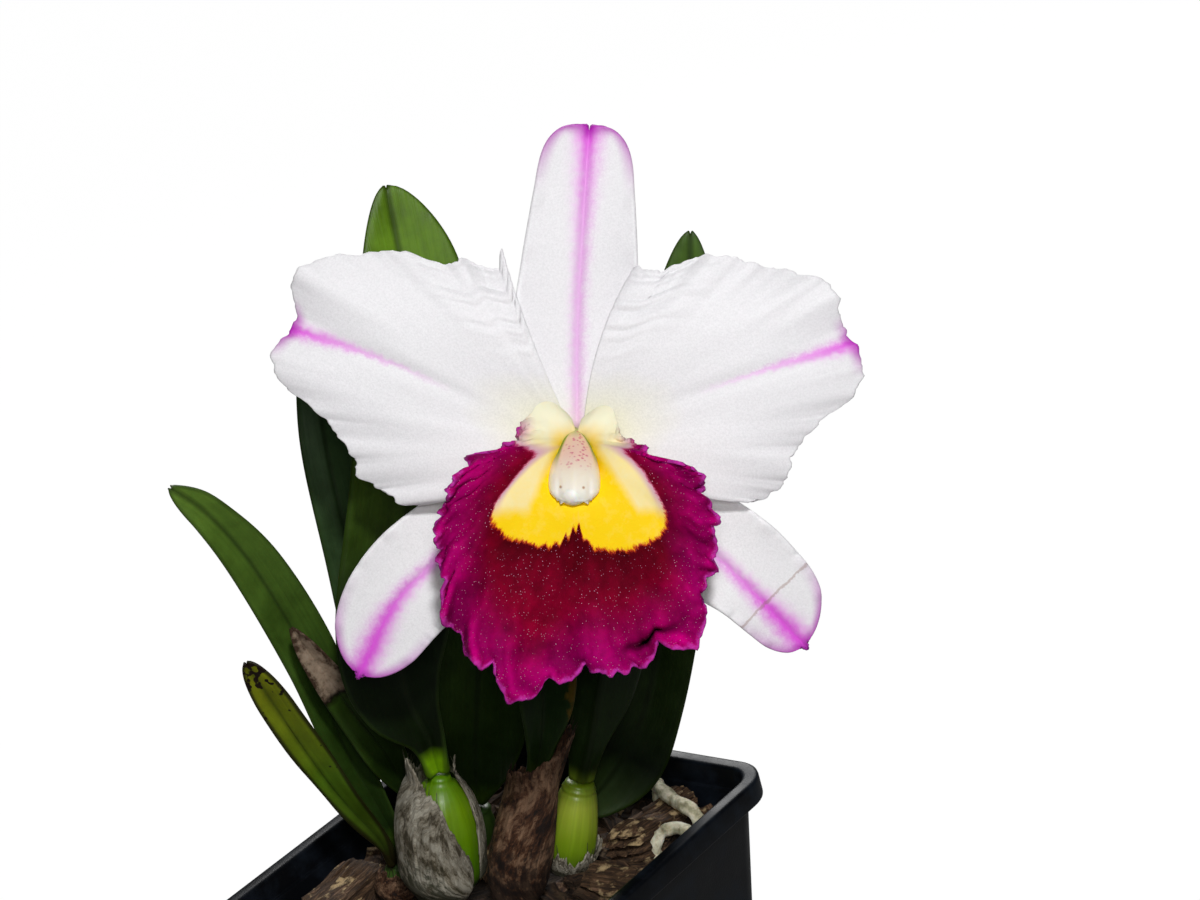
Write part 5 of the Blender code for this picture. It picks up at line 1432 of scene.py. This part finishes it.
def build_leaves(settings):
    """Thick strap leaves, folded along a keel, with a stout foot where they leave the bulb."""
    # The near-black low and middle colours of every leaf but leaf_d are painted shade, where the
    # leaves lie deep among each other and under the flower
    green = ("#4A6A0C", "#16260A", "#2E4614", settings.leaf, "#2E4418")
    dark = ("#3A5212", "#16240A", "#182808", settings.leaf_dark, "#2A3C1E")
    kinds = {
        # Leaf A's near-black run above its lime foot is painted shadow of the flower
        "leaf_a": ("leathery green leaf, lime foot", "leaf_green",
                   ("#6E9A0A", "#0A1403", "#101E08", "#527212", "#3A5A26"),
                   {"at": (0.075, 0.14, 0.52, 0.9)}),
        "leaf_b": ("leathery leaf, grey underside", "leaf_dark_green",
                   ("#2C3E18", "#1E2C10", "#26381C", "#3A5230", "#33482A"), {}),
        "leaf_c": ("leathery green leaf", "leaf_green", green, {"at": (0.0, 0.13, 0.42, 1.0)}),
        "leaf_d": ("leathery leaf turning yellow, spotted", "leaf_yellow_green",
                   ("#3A2C14", "#2E3A10", "#4C6A12", "#74780E", "#50602A"),
                   {"at": (0.0, 0.16, 0.62, 1.0), "spots": "#1A1008"}),
        "leaf_e": ("leathery leaf, dried back", "leaf_dark_green", dark, {"dry_from": 0.7}),
        "leaf_f": ("leathery leaf, brown margin", "leaf_dark_green",
                   ("#3C4A14", "#182809", "#16280A", "#1E3A10", "#2C3E24"),
                   {"margin": "#54440F"}),
        "leaf_g": ("leathery leaf, underside out", "leaf_green",
                   ("#7E9828", "#1C3008", "#14240A", settings.leaf, "#1A2A0C"), {}),
        # Leaf H's near-black middle is painted shade; its grey-green foot is partly its own colour
        # and partly painted sheen
        "leaf_h": ("leathery old leaf, broad", "leaf_dark_green",
                   ("#5E7444", "#3A5026", "#0C1806", settings.leaf_dark, "#2C3E24"),
                   {"at": (0.05, 0.16, 0.3, 1.0)}),
        "leaf_i": ("leathery old leaf, shaded", "leaf_dark_green", dark, {}),
    }
    for name, (path, left, right, facing, fold) in LEAVES.items():
        title, slot, colours, extra = kinds[name]
        points, across, along, edge, t, share = strap(
            path, left, right, facing, fold, 96, 33, 1.0, settings.ripple / MM, 2.5, 0.12, 0.5)
        thick = 0.5 + 0.45 * (1 - np.abs(share[None, :]) ** 3) + 1.5 * np.exp(-along / 4.5)
        thick = thick * (0.75 + 0.25 * eased(0.0, 1.5, edge)) + 0.5 * np.exp(
            -(across / 0.5) ** 2) * (1 - eased(0.7, 0.95, t))
        mesh = blade(name, points, thick, {
            "place": np.stack([across, along, t], -1), "edge": edge})
        piece(name + "_blade", mesh, [name], leaf_cuticle(title, *colours, **extra))


def build_petals(settings):
    """Three sepals and two broad ruffled petals, each with its stripe."""
    for name, (path, left, right) in SEPALS.items():
        top = name == "dorsal_sepal"
        points, across, _, edge, t, _ = strap(
            np.array(path), left, right, SEPAL_FACING, SEPAL_FOLD, 110, 49, 2.0, 0.35, 2.0, 0.14,
            *((0.9, 3.0) if top else (-1.2, 2.3)))
        rim = eased(2.5, 0.0, edge)
        points[..., 1] += 0.22 * rim * uneven(t, 9, ord(name[-1]))
        points[..., 1] += 0.5 * np.exp(-(across / 0.7) ** 2) * eased(0.0, 0.2, t)
        # The first value of looks is painted light: the dorsal sepal's white is painted dimmer, the
        # laterals' brighter
        if top:
            looks = (0.9, 1.3, 2.2, ((0.0, 0.0), (0.1, 0.3), (0.3, 0.4), (0.7, 0.5), (0.9, 0.72),
                                     (1.0, 1.0)), 0.2, "#A6AA66")
        else:
            looks = (1.04, 1.3, 2.4, ((0.0, 0.2), (0.4, 0.55), (0.8, 0.95), (1.0, 1.0)), 0.3,
                     "#E4E6CC")
        tissue = petal_tissue(settings, name.replace("_", " ") + " tissue", *looks)
        mesh = blade(name, flower_to_frame(points), 0.62, {
            "place": np.stack([across, edge, t], -1)})
        piece(name + "_tissue", mesh, [name], tissue)
    for name, (start, sweep, reach, (stripe_foot, stripe_tip, dip), bulges) in PETALS.items():
        seed = len(name)
        s, c = np.meshgrid(1.0 - (1.0 - np.linspace(0, 1, 70)) ** 1.3, np.linspace(0, 1, 200),
                           indexing="ij")
        angle = np.radians(start + sweep * c)
        way = np.stack([np.cos(angle), 0 * angle, np.sin(angle)], -1)
        foot = RECEPTACLE_AT + way * WHORL_RADIUS
        crimp = 0.4 * uneven(c, 18, seed) + 0.1 * uneven(c, 60, seed + 1)
        edge_reach = between(reach, c) + s ** 4 * crimp
        edge_point = way * edge_reach[..., None]
        height = settings.ruffle / MM
        ruffle = 0.42 * height * s ** 4 * np.sin(c * 34.0 + 1.0 + 3.5 * s + np.sin(7.0 * c))
        ruffle += s ** 6 * (0.5 * height * uneven(c, 7, seed + 2)
                            + 0.08 * s ** 4 * height * uneven(c, 24, seed + 3))
        # Beside the dorsal sepal each petal is crinkled, with short folds across its edge
        by_dorsal = eased(0.34, 0.04, c if name == "petal_left" else 1.0 - c)
        ruffle += 0.3 * by_dorsal * eased(0.3, 0.75, s) * uneven(s + 0.25 * c, 9, seed + 4)
        depth = 0.9 - 3.4 * np.sin(np.pi * 0.62 * s) + 1.6 * s ** 3 + ruffle
        depth += 1.4 * s * np.abs(2 * c - 1) ** 2
        stripe = np.radians(stripe_foot + (stripe_tip - stripe_foot) * s - dip * np.sin(np.pi * s))
        from_stripe = np.linalg.norm(edge_point, axis=-1) * s * (angle - stripe)
        # The midrib lies in a shallow channel
        depth += 0.45 * np.exp(-(from_stripe / 1.3) ** 2) * eased(0.1, 0.5, s)
        bulge = np.where(c < 0.5, *bulges) * 4.0 * s * (1.0 - s) * (2 * c - 1) ** 3
        swell = np.stack([-way[..., 2] * bulge, depth, way[..., 0] * bulge], -1)
        points = foot * (1 - s[..., None]) + edge_point * s[..., None] + swell
        edge = np.linalg.norm(edge_point - foot, axis=-1) * (1 - s)
        edge = np.minimum(edge, np.minimum(c, 1 - c) * np.radians(sweep) * edge_reach * s)
        # 0.94 is the petals' white level as painted light
        tissue = petal_tissue(settings, name.replace("_", " ") + " tissue", 0.94, 0.5, 1.25,
                              ((0.4, 0.0), (0.72, 0.5), (0.9, 0.8), (1.0, 1.0)), 0.12, "#F0EDCF")
        mesh = blade(name, flower_to_frame(points)[:, ::-1], 0.6, {
            "place": np.stack([from_stripe, edge, s], -1)[:, ::-1]})
        piece(name + "_tissue", mesh, [name], tissue)


# Lip and column

def build_lip(settings):
    """The lip: a deep yellow throat round the column that opens to a frilled crimson blade."""
    s, c = np.meshgrid(1.0 - (1.0 - np.linspace(0, 1, 66)) ** 1.25, np.linspace(0, 1, 420),
                       indexing="ij")
    angle = (2.0 * c - 1.0) * LIP_SPAN
    way = np.stack([np.sin(angle), 0 * angle, -np.cos(angle)], -1)
    # Beside the column's root the lip starts closer in and further forward
    turn = np.degrees(angle)
    high = eased(90.0, 150.0, np.abs(turn))
    foot = RECEPTACLE_AT + way * (WHORL_RADIUS - 2.2 * eased(30.0, 75.0, np.abs(turn)))[..., None]
    height = settings.frill / MM
    lobes = eased(150.0, 118.0, np.abs(turn))
    frill = s ** 3 * np.sin(c * 11 * 2 * np.pi)
    small = s ** 5 * lobes
    crimp = small * (0.7 * uneven(c, 26, 5) + 0.35 * uneven(c, 70, 6))
    for place, wide, deep in LIP_NICKS:
        crimp = crimp - deep * s ** 9 * np.exp(-((turn - place) / wide) ** 2)
    edge = LIP_MIDDLE + way * (between(LIP_REACH, c) + 0.5 * frill * lobes + crimp)[..., None]
    points = foot * (1 - s[..., None]) + edge * s[..., None]
    run = np.linalg.norm(edge - foot, axis=-1) * s
    depth = -0.5 - 1.9 * high - (THROAT_DEPTH - 7.2 * high) * (1.0 - np.exp(-run / THROAT_EASE))
    depth += height * frill * lobes - 1.8 * s ** 3 * np.maximum(0.0, np.cos(angle))
    # A low cushion stands below the column, so that its shadow there is thin
    x, z = points[..., 0], points[..., 2]
    depth -= 1.1 * np.exp(-(x / 5.0) ** 2 - ((z + 12.5) / np.where(z < -12.5, 5.5, 3.2)) ** 2)
    wander = c + 0.012 * np.sin(9 * s + 2.0) + 0.006 * np.sin(23 * s)
    ruffle = small * (1.2 * uneven(wander, 17, 7) + 0.55 * s ** 4 * uneven(wander, 44, 8)
                      + 0.22 * s ** 9 * uneven(c, 90, 10))
    # Low pleats run in from the frill and wander as they go
    ruffle += lobes * eased(0.55, 0.95, s) * 0.22 * uneven(wander, 31, 9)
    # One fold of the frill rolls forward at the lower right, with a hollow behind it
    roll = np.exp(-((turn - 25.0) / 7.0) ** 2) * eased(0.88, 1.0, s)
    hollow = np.exp(-((turn - 25.0) / 7.5) ** 2) * np.exp(-((s - 0.885) / 0.022) ** 2)
    depth += height * ruffle - 2.6 * roll + 2.2 * hollow
    # relief sets the lip's painted light and shade: crests painted lighter, hollows darker, the
    # hollow behind the roll nearly black
    relief = np.clip(-ruffle - 0.3 * frill * lobes, -1.2, 1.2) - 4.0 * hollow
    points = points - way * (1.4 * roll * s)[..., None]
    # The lobes beside the column roll outwards at their tops
    tops = eased(128.0, 165.0, np.abs(turn)) * s ** 2
    depth += 2.6 * tops
    points[..., 1] += depth
    from_middle = points - LIP_MIDDLE
    radius = np.hypot(from_middle[..., 0], from_middle[..., 2])
    # A few long crimson rays run up the middle of the throat's lower edge
    rays = sum(long * np.exp(-((turn - place) / wide) ** 2) for place, wide, long in THROAT_RAYS)
    beyond = radius - between(THROAT_REACH, c) + rays
    x, z = points[..., 0], points[..., 2]
    inner = np.where(x > 0, 5.6 + 0.62 * np.maximum(-6.0 - z, -2.0),
                     5.2 + 0.4 * np.maximum(-6.0 - z, -2.0))
    gold = eased(1.7, -1.7, np.abs(x) - inner) * eased(1.0, -4.0, z)
    gold = np.maximum(gold, eased(-11.0, -15.4, z))
    gold = np.maximum(gold, 0.45 * eased(1.0, -6.0, z))
    down = np.maximum(0.0, np.cos(angle))
    maroon = np.exp(-np.maximum(beyond, 0) / 6.5) * (0.25 + 0.75 * down ** 0.6)
    maroon = np.maximum(maroon, 0.8 * np.exp(-(x / 5.0) ** 2) * down * eased(22.0, 12.0, radius))
    feather = 0.6 + 0.5 * down
    side = eased(-16.0, -11.0, z) * eased(3.0, -1.0, z)
    mesh = blade("lip", flower_to_frame(points)[::-1], 0.6, {
        "throat": np.stack([beyond, gold, maroon], -1)[::-1],
        "margin": np.stack([np.linalg.norm(edge - foot, axis=-1) * (1 - s), feather, side],
                           -1)[::-1], "relief": relief[::-1]})
    piece("lip_tissue", mesh, ["lip"], velvety_lip(settings))


def build_column():
    """The column, one smooth shield that curves over at its tip, and the anther cap under it."""
    v = np.linspace(0, 1, 84)
    z = -0.4 - 12.1 * v
    wide = between((0.25, 1.65, 2.65, 3.35, 3.8, 4.1, 4.2, 3.95, 2.9), v)
    front = between((-2.8, -5.2, -7.6, -9.9, -11.8, -13.3, -14.3, -14.9, -14.6), v)
    depth_front = between((0.6, 1.2, 1.8, 2.3, 2.7, 3.0, 3.0, 2.6, 1.5), v)
    depth_back = between((1.0, 1.8, 2.4, 2.6, 2.6, 2.4, 2.0, 1.5, 0.9), v)
    shut = np.sqrt(np.clip(1.0 - (np.clip(v - 0.88, 0.0, 0.12) / 0.12) ** 2, 0.0, 1.0))
    angle = np.linspace(0, 2 * np.pi, 160, endpoint=False)
    x = (wide * (0.55 + 0.45 * shut))[:, None] * np.cos(angle)
    rise = np.sin(angle)
    depth_front, depth_back = depth_front * (0.3 + 0.7 * shut), depth_back * (0.3 + 0.7 * shut)
    y = (front + depth_front)[:, None] - np.where(rise > 0, rise * depth_front[:, None],
                                                  rise * depth_back[:, None])
    face = np.maximum(rise, 0.0)
    low = eased(0.6, 0.78, v)[:, None]
    y = y - 0.3 * face * np.exp(-(x / 1.1) ** 2) + 0.35 * face * low * np.exp(
        -((np.abs(x) - 2.5) / 0.5) ** 2)
    # Small teeth stand at the lower corners
    off = np.abs(x)
    teeth = 0.6 * np.maximum(0.0, np.sin(off * 12.0)) * eased(1.7, 2.0, off)
    down = z[:, None] - teeth * eased(0.93, 1.0, v)[:, None]
    marks = np.minimum(np.hypot(x + 2.2, down + 10.1), np.hypot(x - 1.5, down + 10.2))
    rings = np.stack([x - 0.3, y, down], -1)
    spot = np.stack([np.broadcast_to(np.cos(angle), x.shape), -down,
                     np.broadcast_to(v[:, None], x.shape)], -1)
    mesh = shell("column", flower_to_frame(rings)[:, ::-1], {
        "place": spot[:, ::-1], "marks": np.where(face > 0, marks, 9.0)[:, ::-1]})
    piece("column_tissue", mesh, ["column"], waxy_column())
    # The cap shows as a small two-lobed bulge at the middle of the tip
    up = np.linspace(0.02, np.pi - 0.02, 28)
    around = np.linspace(0, 2 * np.pi, 48, endpoint=False)
    lobes = 1.0 + 0.1 * np.cos(2 * around)
    cx = 2.0 * np.sin(up)[:, None] * np.cos(around)[None, :] * lobes - 0.5
    cy = -13.4 - 1.9 * np.sin(up)[:, None] * np.sin(around)[None, :]
    cz = np.broadcast_to((-11.35 + 1.75 * np.cos(up))[:, None], cx.shape)
    cap = np.stack([cx, cy, cz], -1)
    piece("anther_cap_tissue", shell("cap", flower_to_frame(cap)[::-1]), ["anther_cap"],
          waxy_anther())


# Stage

def build_stage(settings):
    """Pale floor, soft lights from the viewer's side and the camera at the photograph's angle."""
    scene = bpy.context.scene
    scene.view_settings.view_transform = "Standard"
    bm = bmesh.new()
    bmesh.ops.create_grid(bm, x_segments=1, y_segments=1, size=6.0)
    floor_mesh = bpy.data.meshes.new("floor")
    bm.to_mesh(floor_mesh)
    bm.free()
    floor = bpy.data.objects.new("floor", floor_mesh)
    scene.collection.objects.link(floor)
    material = bpy.data.materials.new("matt white paper floor")
    material.use_nodes = True
    tree = material.node_tree
    tree.nodes.clear()
    # The floor is white paper that is lit far more brightly than the plant, as in the photograph
    paper = add(tree, "BsdfDiffuse", {"Color": "#8C8C8C"})
    bright = add(tree, "Emission", {"Color": settings.floor, "Strength": 1.05})
    seen = add(tree, "LightPath")
    much = add(tree, "Math", [(seen, "Is Camera Ray"), 0.95], operation="MULTIPLY")
    mixed = add(tree, "MixShader", {"Fac": much, "Shader": paper, "Shader_001": bright})
    add(tree, "OutputMaterial", {"Surface": mixed})
    floor_mesh.materials.append(material)
    world = bpy.data.worlds.new("soft white studio")
    scene.world = world
    world.use_nodes = True
    sky = world.node_tree
    sky.nodes.clear()
    plain = add(sky, "Background", {"Color": (1, 1, 1, 1), "Strength": 1.0})
    dim = add(sky, "Background", {"Color": (0.9, 0.95, 1, 1), "Strength": 0.035})
    path = add(sky, "LightPath")
    either = add(sky, "MixShader", {
        "Fac": (path, "Is Camera Ray"), "Shader": dim, "Shader_001": plain})
    add(sky, "OutputWorld", {"Surface": either})
    pitch, roll = math.radians(CAMERA_PITCH), math.radians(CAMERA_ROLL)
    ahead = Vector((0, math.cos(pitch), -math.sin(pitch)))
    level = Vector((1, 0, 0))
    above = level.cross(ahead)
    right = math.cos(roll) * level + math.sin(roll) * above
    up = -math.sin(roll) * level + math.cos(roll) * above
    at = Vector(CAMERA_AT)
    camera = bpy.data.objects.new("photo_camera", bpy.data.cameras.new("photo_camera"))
    scene.collection.objects.link(camera)
    camera.matrix_world = Matrix((
        (right.x, up.x, -ahead.x, at.x), (right.y, up.y, -ahead.y, at.y),
        (right.z, up.z, -ahead.z, at.z), (0, 0, 0, 1)))
    camera.data.lens = CAMERA_LENS
    camera.data.sensor_width = 36.0
    camera.data.clip_start = 0.01
    scene.camera = camera
    flower = Vector(FLOWER_AT) * MM
    for name, place, size, power in (
            ("key", flower + Vector((0.07, -0.374, 0.325)), 0.05, settings.key),
            ("front_fill", at + up * 0.03, 0.1, settings.key * 0.26),
            ("back_fill", flower + Vector((0.1, 0.7, 0.35)), 0.5, settings.key * 2.4)):
        light = bpy.data.lights.new(name, "AREA")
        light.shape = "DISK"
        light.size = size
        light.energy = power
        lamp = bpy.data.objects.new(name, light)
        scene.collection.objects.link(lamp)
        lamp.location = place
        lamp.rotation_euler = (flower - place).to_track_quat("-Z", "Y").to_euler()


# Operators, panel and registration

class ORCHID_OT_stage(bpy.types.Operator):
    """Sets the floor, the lights and the camera"""

    bl_idname = "orchid.stage"
    bl_label = "Stage"

    def execute(self, context):
        build_stage(context.scene.orchid_stage)
        return {"FINISHED"}


class ORCHID_OT_pot(bpy.types.Operator):
    """Builds the moulded pot"""

    bl_idname = "orchid.pot"
    bl_label = "Pot"

    def execute(self, context):
        build_pot(context.scene.orchid_pot)
        return {"FINISHED"}


class ORCHID_OT_mix(bpy.types.Operator):
    """Fills the pot with bark"""

    bl_idname = "orchid.mix"
    bl_label = "Bark mix"

    def execute(self, context):
        build_mix(context.scene.orchid_pot)
        return {"FINISHED"}


class ORCHID_OT_stems(bpy.types.Operator):
    """Builds the pseudobulbs, rhizome, roots and flower stalk"""

    bl_idname = "orchid.stems"
    bl_label = "Stems and roots"

    def execute(self, context):
        build_stems(context.scene.orchid_plant)
        return {"FINISHED"}


class ORCHID_OT_sheaths(bpy.types.Operator):
    """Wraps the dry sheaths round the pseudobulbs"""

    bl_idname = "orchid.sheaths"
    bl_label = "Sheaths"

    def execute(self, context):
        build_sheaths(context.scene.orchid_plant)
        return {"FINISHED"}


class ORCHID_OT_leaves(bpy.types.Operator):
    """Builds the leaves"""

    bl_idname = "orchid.leaves"
    bl_label = "Leaves"

    def execute(self, context):
        build_leaves(context.scene.orchid_plant)
        return {"FINISHED"}


class ORCHID_OT_petals(bpy.types.Operator):
    """Builds the sepals and petals"""

    bl_idname = "orchid.petals"
    bl_label = "Sepals and petals"

    def execute(self, context):
        build_petals(context.scene.orchid_flower)
        return {"FINISHED"}


class ORCHID_OT_lip(bpy.types.Operator):
    """Builds the lip"""

    bl_idname = "orchid.lip"
    bl_label = "Lip"

    def execute(self, context):
        build_lip(context.scene.orchid_flower)
        return {"FINISHED"}


class ORCHID_OT_column(bpy.types.Operator):
    """Builds the column and its anther cap"""

    bl_idname = "orchid.column"
    bl_label = "Column"

    def execute(self, context):
        build_column()
        return {"FINISHED"}


OPERATORS = (ORCHID_OT_stage, ORCHID_OT_pot, ORCHID_OT_mix, ORCHID_OT_stems, ORCHID_OT_sheaths,
             ORCHID_OT_leaves, ORCHID_OT_petals, ORCHID_OT_lip, ORCHID_OT_column)
GROUPS = {"orchid_pot": OrchidPot, "orchid_plant": OrchidPlant, "orchid_flower": OrchidFlower,
          "orchid_stage": OrchidStage}


class ORCHID_PT_panel(bpy.types.Panel):
    """Lists the orchid's settings and builders"""

    bl_label = "Orchid"
    bl_idname = "ORCHID_PT_panel"
    bl_space_type = "VIEW_3D"
    bl_region_type = "UI"
    bl_category = "Orchid"

    def draw(self, context):
        for key in GROUPS:
            box = self.layout.box()
            group = getattr(context.scene, key)
            for name in group.__annotations__:
                box.prop(group, name)
        for operator in OPERATORS:
            self.layout.operator(operator.bl_idname)


def register():
    for group in GROUPS.values():
        bpy.utils.register_class(group)
    for key, group in GROUPS.items():
        setattr(bpy.types.Scene, key, PointerProperty(type=group))
    for operator in (*OPERATORS, ORCHID_PT_panel):
        bpy.utils.register_class(operator)


def unregister():
    for operator in reversed((*OPERATORS, ORCHID_PT_panel)):
        bpy.utils.unregister_class(operator)
    for key, group in GROUPS.items():
        delattr(bpy.types.Scene, key)
        bpy.utils.unregister_class(group)


def main():
    register()
    for operator in OPERATORS:
        group, name = operator.bl_idname.split(".")
        getattr(getattr(bpy.ops, group), name)()


if __name__ == "__main__":
    main()
